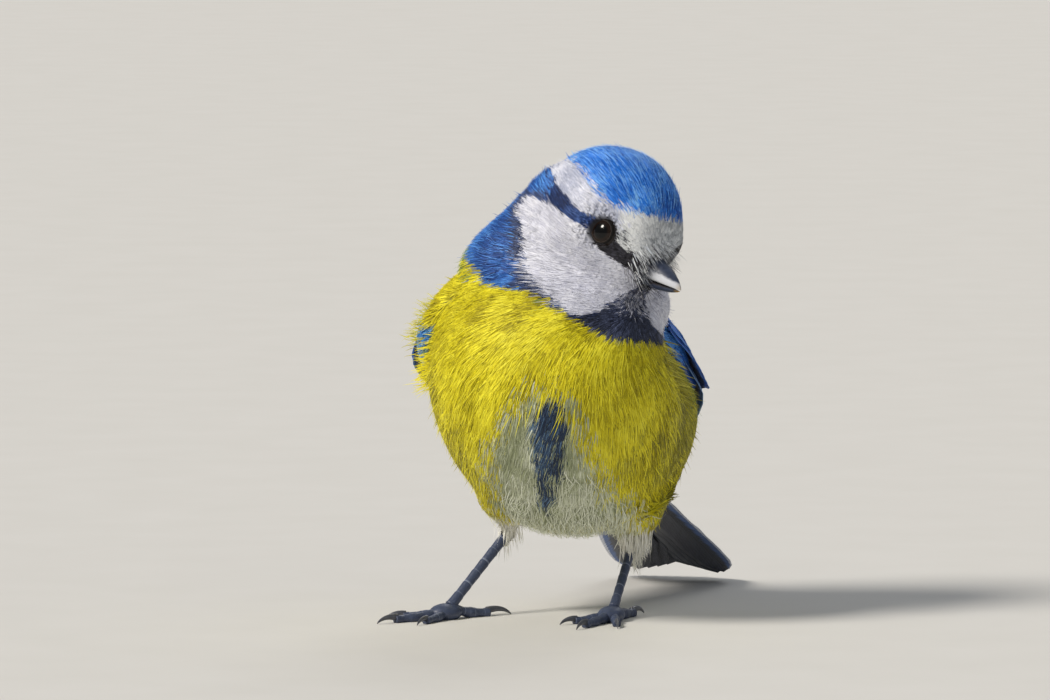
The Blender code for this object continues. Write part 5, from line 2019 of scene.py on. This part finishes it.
@dataclass(frozen=True)
class BillHorn:
    """The bill's horn: keratin grown in layers and worn smooth, so glossy, pale at the cutting edge; on
    the upper half the pale band is broadened by painted highlight.
    """

    name: str
    pale_over: tuple[float, float]  # millimetres over the cutting edge where the pale band ends; on the upper half it is partly painted highlight
    edge: str
    tip: str
    dark: str = "#1b202e"
    light: str = "#454f66"
    growth_mm: float = 2 / 3  # real growth lines are finer, and would not show

    def material(self) -> bpy.types.Material:
        """Makes the horn from the places marked along and across the bill.

        Returns:
            The material.
        """
        made = Finish(self.name, Roughness=0.4, IOR=1.5, Specular_IOR_Level=0.35)
        place = made.add("Attribute", out="Vector", attribute_name="bill")
        share, rise, _ = made.add("SeparateXYZ", (place,)).node.outputs
        where = made.add("TexCoord", out="Object")
        scale = scale_for(self.growth_mm)
        growth = made.add("TexNoise", {"Vector": where, "Scale": scale, "Detail": 3.0})
        reach = made.add("Math", (growth, 0.5, rise), operation="MULTIPLY_ADD")
        reach = made.add("Math", (share, 0.7, reach), operation="MULTIPLY_ADD")
        # Pale cutting edge, broadened on the upper half into a painted highlight
        low, high = (height + 0.25 for height in self.pale_over)
        pale = made.add("MapRange", (reach, low, high, 1.0, 0.0))
        root = made.add("MapRange", (share, 0.02, 0.22))
        pale = made.add("Math", (pale, root), operation="MULTIPLY")
        tip = made.add("MapRange", (share, 0.84, 0.97))
        colour = rgba(self.dark)
        for mask, shade in ((growth, self.light), (pale, self.edge), (tip, self.tip)):
            colour = made.add("Mix", {0: mask, 6: colour, 7: rgba(shade)}, 2, data_type="RGBA")
        bump = made.add("Bump", {"Height": growth, "Strength": 0.25, "Distance": 0.0001})
        return made.end(Base_Color=colour, Normal=bump)


@dataclass
class Bill:
    """The short stout bill in two halves."""

    length: float = 6.2
    drop: float = 0.05
    sections: Stations = (  # share of the length, half-width, height, depth
        (0.0, 2.15, 2.6, 2.3), (0.35, 1.75, 2.15, 1.9), (0.7, 1.1, 1.4, 1.2), (0.92, 0.48, 0.68, 0.5),
        (1.0, 0.14, 0.22, 0.14),
    )
    axis_rise: float = -4.12
    mouth_rise: float = -1.05
    mouth_slope: float = 0.155
    horn: tuple[BillHorn, BillHorn] = (
        # The top's broad pale band and pale tip are partly painted highlight
        BillHorn("slate_bill_horn_top", (1.4, 1.75), "#c6c9d0", "#b9b2a8"),
        BillHorn("slate_bill_horn_bottom", (0.4, 0.7), "#332f30", "#a5813c"),
    )

    def half(self, upper: bool) -> tuple[Array, Array, Array]:
        """Shapes one half of the bill.

        Args:
            upper: whether it is the upper half.

        Returns:
            Its points, faces and the marks of their places on it.
        """
        head = POSTURE.head
        rings, marks = [], []
        sides, stations = 40, 30
        for i in range(stations):
            share = 1 - (1 - i / (stations - 1)) ** 1.3
            width, above, below = along_curve(self.sections, np.array(share))
            centre = self.axis_rise - self.drop * share**1.6
            mouth = self.axis_rise + self.mouth_rise + self.mouth_slope * self.length * share
            angle = np.linspace(0, 2 * math.pi, sides, endpoint=False)
            y = width * np.sign(np.cos(angle)) * np.abs(np.cos(angle)) ** 0.9
            z = centre + np.where(np.sin(angle) > 0, above, below) * np.sin(angle)
            limit = mouth + (0.12 if upper else -0.12)
            z = np.maximum(z, limit) if upper else np.minimum(z, limit)
            flat = np.clip((z - limit) * (1 if upper else -1) / 0.35, 0, 1)
            if upper:
                crest = np.clip(1 - np.abs(y) / 0.7, 0, 1) * np.clip((z - centre) / 1.2, 0, 1)
                z = z + 0.12 * crest * (1 - share)
            y = y * (0.9 + 0.1 * flat)
            along = POSTURE.bill_start + self.length * share
            rings.append(head.at(np.full(sides, along), y, z))
            marks.append(np.stack([np.full(sides, share), np.abs(z - limit), np.abs(y)], axis=1))
        points, faces = closed_tube(np.array(rings))
        return points, faces, with_ends(np.array(marks)).reshape(-1, 3)

    def build(self) -> list[bpy.types.Object]:
        """Makes both halves of the bill.

        Returns:
            What is made.
        """
        pieces = []
        for name, upper, horn in zip(("bill_top", "bill_bottom"), (True, False), self.horn):
            points, faces, marks = self.half(upper)
            made = mesh_object(name, points, faces)
            mark(made, "bill", marks)
            made.data.materials.append(horn.material())
            pieces.append(made)
        return pieces


@dataclass(frozen=True)
class WetIris:
    """The eye's surface: a near-black pupil in a warm brown iris, under a wet mirror-smooth cornea."""

    name: str
    pupil: str = "#020202"
    dark: str = "#0c0704"
    light: str = "#24160e"
    fibre_mm: float = 2 / 7

    def material(self) -> bpy.types.Material:
        """Makes the iris from the distance marked from the middle of the pupil.

        Returns:
            The material.
        """
        made = Finish(
            self.name, Roughness=0.2, Specular_IOR_Level=0.1, Coat_Weight=0.4, Coat_Roughness=0.03
        )
        place = made.add("Attribute", out="Vector", attribute_name="eye")
        reach = made.add("SeparateXYZ", (place,))
        where = made.add("TexCoord", out="Object")
        scale = scale_for(self.fibre_mm)
        fibre = made.add("TexNoise", {"Vector": where, "Scale": scale, "Detail": 3.0})
        shades = {0: fibre, 6: rgba(self.dark), 7: rgba(self.light)}
        brown = made.add("Mix", shades, 2, data_type="RGBA")
        ring = made.add("MapRange", (reach, 0.38, 0.48))
        shades = {0: ring, 6: rgba(self.pupil), 7: brown}
        return made.end(Base_Color=made.add("Mix", shades, 2, data_type="RGBA"))


@dataclass(frozen=True)
class LidSkin:
    """The lids: bare pebbled skin, dull, with a paler rim next to the eye."""

    name: str
    dark: str = "#0a0808"
    light: str = "#1b1613"
    rim: str = "#4c413b"
    pebble_mm: float = 2 / 13

    def material(self) -> bpy.types.Material:
        """Makes the skin from the place marked across the lid.

        Returns:
            The material.
        """
        made = Finish(self.name, Roughness=0.6, Specular_IOR_Level=0.2)
        place = made.add("Attribute", out="Vector", attribute_name="lid")
        inner = made.add("MapRange", (made.add("SeparateXYZ", (place,)), 0.55, 0.8))
        where = made.add("TexCoord", out="Object")
        scale = scale_for(self.pebble_mm)
        pebbles = made.add("TexVoronoi", {"Vector": where, "Scale": scale}, "Distance")
        colour = rgba(self.light)
        for mask, shade in ((pebbles, self.dark), (inner, self.rim)):
            colour = made.add("Mix", {0: mask, 6: colour, 7: rgba(shade)}, 2, data_type="RGBA")
        bump = made.add("Bump", {"Height": pebbles, "Strength": 0.4, "Distance": 0.00005})
        return made.end(Base_Color=colour, Normal=bump)


@dataclass
class Eye:
    """A dark brown eye under a wet clear cornea, in its ring of bare skin."""

    side: Side
    radius: float = 2.8
    opening: float = 1.78
    lid_width: float = 0.2

    def ball(self) -> bpy.types.Object:
        """Makes the eyeball, marked with the distance from the way it looks.

        Returns:
            The piece.
        """
        centre, out = POSTURE.eye_centre(self.side), POSTURE.eye_axis(self.side)
        rings, sides = 40, 48
        turn = math.pi * (np.arange(rings) + 0.5) / rings
        path = centre + np.outer(np.cos(turn) * self.radius, out)
        points, faces = closed_tube(tube_rings(path, np.sin(turn) * self.radius, sides))
        made = mesh_object(f"eyeball_{self.side.word}", points, faces)
        mark(made, "eye", np.linalg.norm(np.cross(points - centre, out), axis=1) / self.radius)
        made.data.materials.append(WetIris(f"wet_brown_iris_{self.side.word}").material())
        return made

    def lid(self) -> bpy.types.Object:
        """Makes the ring of the lids, pebbled bare skin that hugs the eye.

        Returns:
            The piece.
        """
        centre, out = POSTURE.eye_centre(self.side), POSTURE.eye_axis(self.side)
        across = unit(np.cross(out, POSTURE.head.forward))
        over = np.cross(across, out)
        sides, cross = 72, 12
        angle = np.linspace(0, 2 * math.pi, sides, endpoint=False)[:, None]
        b = np.linspace(0, 2 * math.pi, cross, endpoint=False)[None, :]
        depth = math.sqrt(self.radius**2 - self.opening**2)
        pebble = 0.03 * np.sin(angle * 19) + 0.02 * np.sin(angle * 31 + 1.0)
        reach = self.opening + self.lid_width * 0.55 + self.lid_width * np.cos(b) + pebble
        rise = depth + 0.02 + 0.24 * np.sin(b) - 0.16 * (1 + np.cos(b)) + 0 * angle
        points = (
            centre
            + (reach * np.cos(angle))[..., None] * across
            + (reach * np.sin(angle))[..., None] * over
            + rise[..., None] * out
        )
        faces = ring_faces(sides + 1, cross)[:, (0, 3, 2, 1)] % (sides * cross)
        made = mesh_object(f"eyelid_{self.side.word}", points.reshape(-1, 3), faces)
        mark(made, "lid", np.broadcast_to(-np.cos(b), reach.shape).reshape(-1))
        made.data.materials.append(LidSkin(f"bare_lid_skin_{self.side.word}").material())
        return made


@dataclass(frozen=True)
class LegScales:
    """The skin of the legs: blue-grey horny plates, half matt, with pale joints between them."""

    dark: str = "#252e44"
    light: str = "#56607c"
    cleft: str = "#39435a"
    joint: str = "#7d869b"
    pebble_mm: float = 1 / 3
    dust_mm: float = 10 / 9

    def material(self) -> bpy.types.Material:
        """Makes the scales from the place marked along each plate.

        Returns:
            The material.
        """
        made = Finish("slate_blue_leg_scales", Roughness=0.42, Specular_IOR_Level=0.45)
        place = made.add("Attribute", out="Vector", attribute_name="scale")
        plate = made.add("SeparateXYZ", (place,))
        where = made.add("TexCoord", out="Object")
        pebble_scale, dust_scale = scale_for(self.pebble_mm), scale_for(self.dust_mm)
        pebbles = made.add("TexVoronoi", {"Vector": where, "Scale": pebble_scale}, "Distance")
        dust = made.add("TexNoise", {"Vector": where, "Scale": dust_scale, "Detail": 4.0})
        joint = made.add("MapRange", (plate, 0.86, 0.97))
        colour = rgba(self.dark)
        for mask, shade in ((dust, self.light), (pebbles, self.cleft), (joint, self.joint)):
            colour = made.add("Mix", {0: mask, 6: colour, 7: rgba(shade)}, 2, data_type="RGBA")
        bump = made.add("Bump", {"Height": pebbles, "Strength": 0.35, "Distance": 0.0001})
        return made.end(Base_Color=colour, Normal=bump)


@dataclass(frozen=True)
class ClawHorn:
    """The claws' horn: dark keratin, grown and worn smooth, so glossy with faint grey streaks."""

    dark: str = "#1e2028"
    light: str = "#5c5f69"
    streak_mm: float = 5 / 6

    def material(self) -> bpy.types.Material:
        """Makes the streaked horn.

        Returns:
            The material.
        """
        made = Finish("dark_claw_horn", Roughness=0.3, IOR=1.54, Coat_Weight=0.2)
        where = made.add("TexCoord", out="Object")
        scale = scale_for(self.streak_mm)
        streak = made.add("TexNoise", {"Vector": where, "Scale": scale, "Detail": 3.0})
        shades = {0: streak, 6: rgba(self.dark), 7: rgba(self.light)}
        return made.end(Base_Color=made.add("Mix", shades, 2, data_type="RGBA"))


@dataclass
class Leg:
    """A scaled shank with its foot: four jointed toes with curved claws."""

    side: Side
    ankle: tuple[float, float, float]
    joint: tuple[float, float, float]
    yaw: float
    thick: float = 1.7
    scutes: int = 7
    palm: tuple[float, float, float] = (2.9, 2.1, 1.5)  # half its length, breadth and height
    toes: dict = field(
        default_factory=lambda: {  # degrees from straight ahead, length, claw length, thickness
            "hallux": (180.0, 7.2, 5.2, 1.8),
            "inner": (-30.0, 7.6, 3.6, 1.55),
            "middle": (0.0, 10.4, 4.2, 1.65),
            "outer": (29.0, 8.0, 3.6, 1.55),
        }
    )

    def shank(self) -> bpy.types.Object:
        """Makes the shank with its overlapping plates, and the palm of the foot.

        Returns:
            The piece.
        """
        parts = MeshParts()
        ankle, joint = np.array(self.ankle), np.array(self.joint)
        steps = self.scutes * 10
        share = np.linspace(-0.18, 1.0, steps + 1)
        plate = (share * self.scutes) % 1
        heel = 0.22 * np.clip((share - 0.8) / 0.2, 0, 1) ** 2
        radii = self.thick / 2 * (0.94 + 0.085 * (1 - plate) ** 1.5 + heel)
        path = ankle + np.outer(share, joint - ankle)
        points, faces = closed_tube(tube_rings(path, radii, 20, 0.85))
        parts.add(points, faces, scale=np.repeat(with_ends(plate), 20))
        foot = Axes.turned((joint[0], joint[1], 1.1), self.yaw, 0.0)
        angle = np.linspace(0, 2 * math.pi, 24, endpoint=False)
        palm_long, palm_wide, palm_high = self.palm
        rings = []
        for t in math.pi * (np.arange(20) + 0.5) / 20:
            ahead, aside = 0.9 - palm_long * math.cos(t), palm_wide * math.sin(t) * np.cos(angle)
            rings.append(foot.at(np.full(24, ahead), aside, palm_high * math.sin(t) * np.sin(angle)))
        rings = np.array(rings)
        rings[..., 2] = np.maximum(rings[..., 2], 0.0)
        points, faces = closed_tube(rings)
        parts.add(points, faces, scale=np.full(len(points), 0.5))
        return parts.build(f"shank_{self.side.word}")

    def toe(self, name: str) -> tuple[tuple[Array, Array, Array], tuple[Array, Array]]:
        """Shapes a toe and its claw.

        Args:
            name: which toe.

        Returns:
            The toe's points, faces and marks, and the claw's points and faces.
        """
        angle, length, claw_length, thick = self.toes[name]
        heading = math.radians(self.yaw + angle)
        ahead = np.array((math.sin(heading), -math.cos(heading), 0.0))
        radius = thick / 2
        share = np.linspace(0, 1, 61)
        pads = 3 if name == "middle" else 2
        swell = 0.12 * np.cos(share * math.pi * 2 * pads)
        plates = pads * 3 + 1
        plate = (share * plates) % 1
        radii = radius * (1 - 0.22 * share + swell + 0.045 * (1 - plate))
        reach = 0.6 + (length - 0.6) * share
        lift = 0.75 * (1 - share) ** 3
        knuckle = 0.22 * np.sin(share * math.pi * pads) ** 2
        path = np.array(self.joint) * (1, 1, 0) + np.outer(reach, ahead)
        path[:, 2] = radius * (1 - 0.22 * share) - 0.13 + lift + knuckle * 0.3
        rings = tube_rings(path, radii, 18, 0.95)
        rings[..., 2] = np.maximum(rings[..., 2], 0.0)
        points, faces = closed_tube(rings)
        marks = np.repeat(with_ends(plate), 18)
        bend, tilt = 1.25, 0.18
        bend_radius = claw_length / bend
        start = path[-1] - ahead * 0.35
        start[2] = radii[-1] + 0.1
        t = np.linspace(0, 1, 24)
        turn = tilt - bend * t
        rise = bend_radius * (np.cos(turn) - math.cos(tilt))
        forward = bend_radius * (math.sin(tilt) - np.sin(turn)) * 1.06
        claw = start + np.outer(forward, ahead)
        claw[:, 2] += rise
        claw_radii = 0.62 * radius * (1 - t) ** 0.8 + 0.07
        lowest = float(np.min(claw[:, 2] - claw_radii))
        claw[:, 2] -= (lowest - 0.02) * t**1.5
        claw_rings = tube_rings(claw, claw_radii, 14, 0.7)
        claw_rings[..., 2] = np.maximum(claw_rings[..., 2], 0.0)
        return (points, faces, marks), closed_tube(claw_rings)

    def build(self) -> list[tuple[bpy.types.Object, str, tuple[str, ...]]]:
        """Makes the leg's pieces, each with its slot and the nodes it stands for.

        Returns:
            What is made.
        """
        word = self.side.word
        shank = self.shank()
        shank.data.materials.append(LEG_SCALES)
        made = [(shank, "leg_scales", (f"tarsus_{word}",))]
        for name in self.toes:
            (points, faces, marks), (claw_points, claw_faces) = self.toe(name)
            toe = mesh_object(f"digit_{word}_{name}", points, faces)
            mark(toe, "scale", marks)
            toe.data.materials.append(LEG_SCALES)
            claw = mesh_object(f"nail_{word}_{name}", claw_points, claw_faces)
            claw.data.materials.append(CLAW_HORN)
            made.append((toe, "leg_scales", (f"toe_{word}_{name}",)))
            made.append((claw, "claw_horn", (f"claw_{word}_{name}",)))
        return made


# ---------------------------------------------------------------------------- studio


@dataclass(frozen=True)
class FloorSheet:
    """The studio's floor: a seamless sheet of matt card, with faint soft clouds of dust."""

    dark: str = "#d4d3cf"
    light: str = "#dad9d6"
    cloud_mm: float = 50 / 3

    def material(self) -> bpy.types.Material:
        """Makes the clouded card.

        Returns:
            The material.
        """
        made = Finish("pale_matt_floor", Roughness=0.9, Specular_IOR_Level=0.15)
        where = made.add("TexCoord", out="Object")
        scale = scale_for(self.cloud_mm)
        dust = made.add("TexNoise", {"Vector": where, "Scale": scale, "Detail": 3.0})
        shades = {0: dust, 6: rgba(self.dark), 7: rgba(self.light)}
        return made.end(Base_Color=made.add("Mix", shades, 2, data_type="RGBA"))


@dataclass
class Studio:
    """A pale seamless floor, soft lights and the camera."""

    floor_size: float = 9.0
    lens: float = 297.6
    camera_at: tuple[float, float, float] = (-0.00538, -1.4085, 0.1654)
    camera_down: float = 5.0

    def floor(self) -> None:
        """Makes the floor as a sheet of quads, finer near the bird."""
        n = 24
        line = (np.linspace(-1, 1, n) ** 3) * self.floor_size / 2 * MM_PER_METRE
        x, y = np.meshgrid(line, line, indexing="ij")
        points = np.stack([x, y, np.zeros_like(x)], axis=-1).reshape(-1, 3) + MIDDLE
        a = grid_starts(n, n)
        made = mesh_object("studio_floor", points, np.stack([a, a + n, a + n + 1, a + 1], axis=1))
        made.data.materials.append(FloorSheet().material())

    def light(self, name: str, at: Sequence[float], spread: float, strength: float, colour: str) -> None:
        """Adds a far soft light that shines towards the bird.

        Args:
            name: the light's name.
            at: the side that it comes from.
            spread: how many degrees of the sky it fills.
            strength: how strong it is.
            colour: its colour.
        """
        lamp = bpy.data.lights.new(name, "SUN")
        lamp.angle = math.radians(spread)
        lamp.energy = strength
        lamp.color = linear(colour)
        obj = bpy.data.objects.new(name, lamp)
        obj.location = at
        aim = Vector((0.0, 0.0, 0.04)) - Vector(at)
        obj.rotation_euler = aim.to_track_quat("-Z", "Y").to_euler()
        bpy.context.scene.collection.objects.link(obj)

    def build(self) -> None:
        """Makes the floor, the lights, the sky and the camera."""
        self.floor()
        self.light("key_light", (-1.0, -0.75, 1.1), 16.0, 3.15, "#fff8ee")
        self.light("fill_light", (0.9, -1.2, 0.7), 50.0, 0.15, "#eef3ff")
        self.light("rim_light", (0.35, 1.1, 1.0), 30.0, 0.5, "#ffffff")
        world = bpy.data.worlds.new("soft_room")
        world.use_nodes = True
        sky = world.node_tree.nodes["Background"]
        sky.inputs["Color"].default_value = rgba("#e9edf3")
        sky.inputs["Strength"].default_value = 0.28
        bpy.context.scene.world = world
        bpy.context.scene.view_settings.view_transform = "Standard"
        camera = bpy.data.cameras.new("camera")
        camera.lens = self.lens
        camera.sensor_width = 36.0
        camera.clip_start = 0.05
        camera.clip_end = 50.0
        obj = bpy.data.objects.new("camera", camera)
        obj.location = self.camera_at
        obj.rotation_euler = (math.radians(90 - self.camera_down), 0.0, 0.0)
        bpy.context.scene.collection.objects.link(obj)
        bpy.context.scene.camera = obj


# ---------------------------------------------------------------------------- the bird


@dataclass
class Bird:
    """Builds the skin, the coat, the wings, tail, bill, eyes and legs in order."""

    groups: tuple[tuple, ...] = (  # name, slot, nodes and patches of each part of the coat
        ("coat_crown", "plumage_head", ("head",), (Patch.CAP,)),
        (
            "coat_face", "plumage_head", ("head",),
            (Patch.CHEEK, Patch.BAND, Patch.FOREHEAD, Patch.LORE),
        ),
        (
            "coat_collar", "plumage_neck", ("neck",),
            (Patch.COLLAR, Patch.NECK, Patch.STRIPE, Patch.BIB, Patch.CHIN),
        ),
        ("coat_breast", "plumage_body", ("torso",), (Patch.BREAST, Patch.FLANK)),
        ("coat_belly", "plumage_body", ("torso",), (Patch.PALE, Patch.BELLY_LINE, Patch.VENT)),
        ("coat_back", "plumage_rump", ("rump",), (Patch.MANTLE, Patch.RUMP)),
        ("coat_thighs", "thigh_feathers", ("thigh_left", "thigh_right"), (Patch.THIGH,)),
    )

    wing_reach: float = 9.0  # how far out of the skin a wing is looked for
    markings: Markings = field(default_factory=Markings)
    lie: Lie = field(default_factory=Lie)
    builder: VaneBuilder = field(default_factory=VaneBuilder)
    wing_trees: list[BVHTree] = field(default_factory=list)

    def __post_init__(self) -> None:
        """Sets up the parts that share the markings, the lie and the way a vane is made."""
        self.coat = Coat(self.markings, self.lie)
        self.flesh = Flesh(self.markings, self.lie)
        self.wings = [
            Wing(
                Side.LEFT, self.builder, 22.0, 78.0,
                ((-12, -0.4), (0, -0.12), (6, -0.05), (10, 0), (12, 0.08), (13.5, 0.25), (15, 0.7)),
                core_front=((-14.5, 0.3, -0.6), (-13, 0.55, 0.6), (-10.5, 0.85, 1.5)),
            ),
            Wing(
                Side.RIGHT, self.builder, 10.0, 74.0,
                (
                    (-12, -0.4), (3, -0.08), (8.5, -0.02), (13, 0), (15.6, 0.09), (16.4, 0.22),
                    (17.4, 0.5), (19, 1),
                ),
                core_front=((-20.5, 0.3, -1.4), (-19, 0.44, -0.4), (-17, 0.6, 0.7), (-12, 0.9, 1.8)),
            ),
        ]

    def under_wing(self, points: Array, normals: Array) -> tuple[Array, Array]:
        """Looks out from places on the skin for a wing over them.

        Args:
            points: places in millimetres.
            normals: the skin's directions out.

        Returns:
            Whether a wing covers each place, and how far the nearest wing is, up to the reach.
        """
        covered, away = np.zeros(len(points), bool), np.full(len(points), self.wing_reach)
        near = np.max([wing.covers(points) for wing in self.wings], axis=0) > -0.25
        for i in np.nonzero(near)[0]:
            start, out = Vector(points[i]), Vector(normals[i])
            for tree in self.wing_trees:
                covered[i] |= tree.ray_cast(start, out, self.wing_reach)[0] is not None
                found = tree.find_nearest(start, self.wing_reach)[3]
                if found is not None:
                    away[i] = min(away[i], found)
        return covered, away

    def body_feathers(self, hide: Hide, dice: np.random.Generator) -> Tufts:
        """Scatters the contour feathers over the skin.

        Args:
            hide: the surface that they grow on.
            dice: the random draws.

        Returns:
            The feathers.
        """

        def crowd(points: Array) -> Array:
            """Gives feathers to a square millimetre, none under the wings or at the bill and eyes.

            Args:
                points: places in millimetres.

            Returns:
                The crowd at each place.
            """
            found = on_line(self.lie.length(points), self.lie.crowd_of_length)
            found = found * ~self.under_wing(*hide.landed(points))[0]
            along, side, rise = POSTURE.head.local(points).T
            at_bill = (along > 11.5) & (np.abs(side) < 2.1) & (rise > -6.8) & (rise < -1.9)
            found = np.where(at_bill, 0.0, found)
            return found * (POSTURE.eye_gap(points) > 2.15)

        roots = hide.scatter(crowd, dice)
        lifted = 1.1 * np.clip(1 - self.under_wing(roots[0], roots[1])[1] / 3.0, 0, 1)
        along, _, rise = POSTURE.body.local(roots[0]).T
        lifted = lifted * np.maximum(edge(along + 5.0, 4.0), edge(rise - 4.0, 2.0))
        return self.coat.grown(hide, roots, None, dice, lifted + self.lie.ruffle(roots[0]))

    def coat_pieces(self, hide: Hide) -> None:
        """Makes the pieces of the coat from the scattered feathers.

        Args:
            hide: the surface that they grow on.
        """
        dice = np.random.default_rng(SEED)
        tufts = self.body_feathers(hide, dice)
        faces_each = self.coat.barbs * len(fibre_pattern(1))
        most = self.coat.most_faces // faces_each
        for name, slot, nodes, patches in self.groups:
            numbers = [PATCHES.index(p) for p in patches]
            chosen = np.nonzero(np.isin(tufts.patch, numbers))[0]
            order = chosen[np.argsort(tufts.places[chosen, 0, 0], kind="stable")]
            for number, group in enumerate(np.array_split(order, math.ceil(len(order) / most))):
                made = self.coat.meshed(tufts.part(group), f"{name}_{number + 1}", dice)
                settle(made, slot, *nodes)
        count = len(tufts.patch)
        logging.info("feathers: %d, barbs' faces: %d", count, count * faces_each)

    def loose_pieces(self, hide: Hide, on_wing: bool) -> None:
        """Makes the loose fibres that grow on the skin, or on the right wing's shoulder.

        Args:
            hide: the surface that they grow on.
            on_wing: whether it is the wing.
        """
        for number, kind in enumerate(LOOSE):
            if kind.on_wing is on_wing:
                dice = np.random.default_rng(SEED + 100 + number)
                made = kind.grown(hide, self.markings, self.lie, dice).build(kind.name)
                settle(made, kind.slot, *kind.nodes)

    def wing_pieces(self) -> None:
        """Makes both wings, and keeps their surfaces for the plumage around them."""
        for wing in self.wings:
            node = f"wing_{wing.side.word}"
            shoulder, outer_faces = wing.shoulder()
            settle(shoulder, "wing_feathers", node)
            self.wing_trees.append(surface_tree(shoulder))
            for made in wing.build():
                settle(made, "wing_feathers", node)
                self.wing_trees.append(surface_tree(made))
            dice = np.random.default_rng(SEED + 50 + wing.side.value)
            hide = Hide.of(shoulder, outer_faces * 2)
            tufts = wing.small_coverts(hide, self.coat, dice)
            coverts = self.coat.meshed(tufts, f"wing_{wing.side.word}_small_coverts", dice)
            settle(coverts, "wing_feathers", node)
            if wing.side is Side.RIGHT:
                self.loose_pieces(hide, True)

    def build(self) -> None:
        """Builds the whole bird."""
        skin = self.flesh.build()
        settle(skin, "plumage_body", *self.flesh.nodes)
        self.wing_pieces()
        hide = Hide.of(skin)
        self.coat_pieces(hide)
        self.loose_pieces(hide, False)
        for made in Tail(self.builder).build():
            settle(made, "tail_feathers", "tail")
        for made, node in zip(Bill().build(), ("bill_upper", "bill_lower")):
            settle(made, "bill_horn", node)
        for side in Side:
            eye = Eye(side)
            settle(eye.ball(), "eye_dark", f"eye_{side.word}")
            settle(eye.lid(), "plumage_head", "head")
        legs = (
            Leg(Side.LEFT, (11.9, 11.2, 12.3), (8.3, -1.5, 2.1), -26.0),
            Leg(Side.RIGHT, (-8.3, 8.8, 13.8), (-18.0, 1.5, 2.1), -58.0),
        )
        for leg in legs:
            for made, slot, nodes in leg.build():
                settle(made, slot, *nodes)


FINISHES = {patch: patch.value.material() for patch in Patch}
LEG_SCALES = LegScales().material()
CLAW_HORN = ClawHorn().material()


def main() -> None:
    """Builds the studio and the bird."""
    logging.basicConfig(level=logging.INFO, format="%(message)s")
    Studio().build()
    Bird().build()


if __name__ == "__main__":
    main()
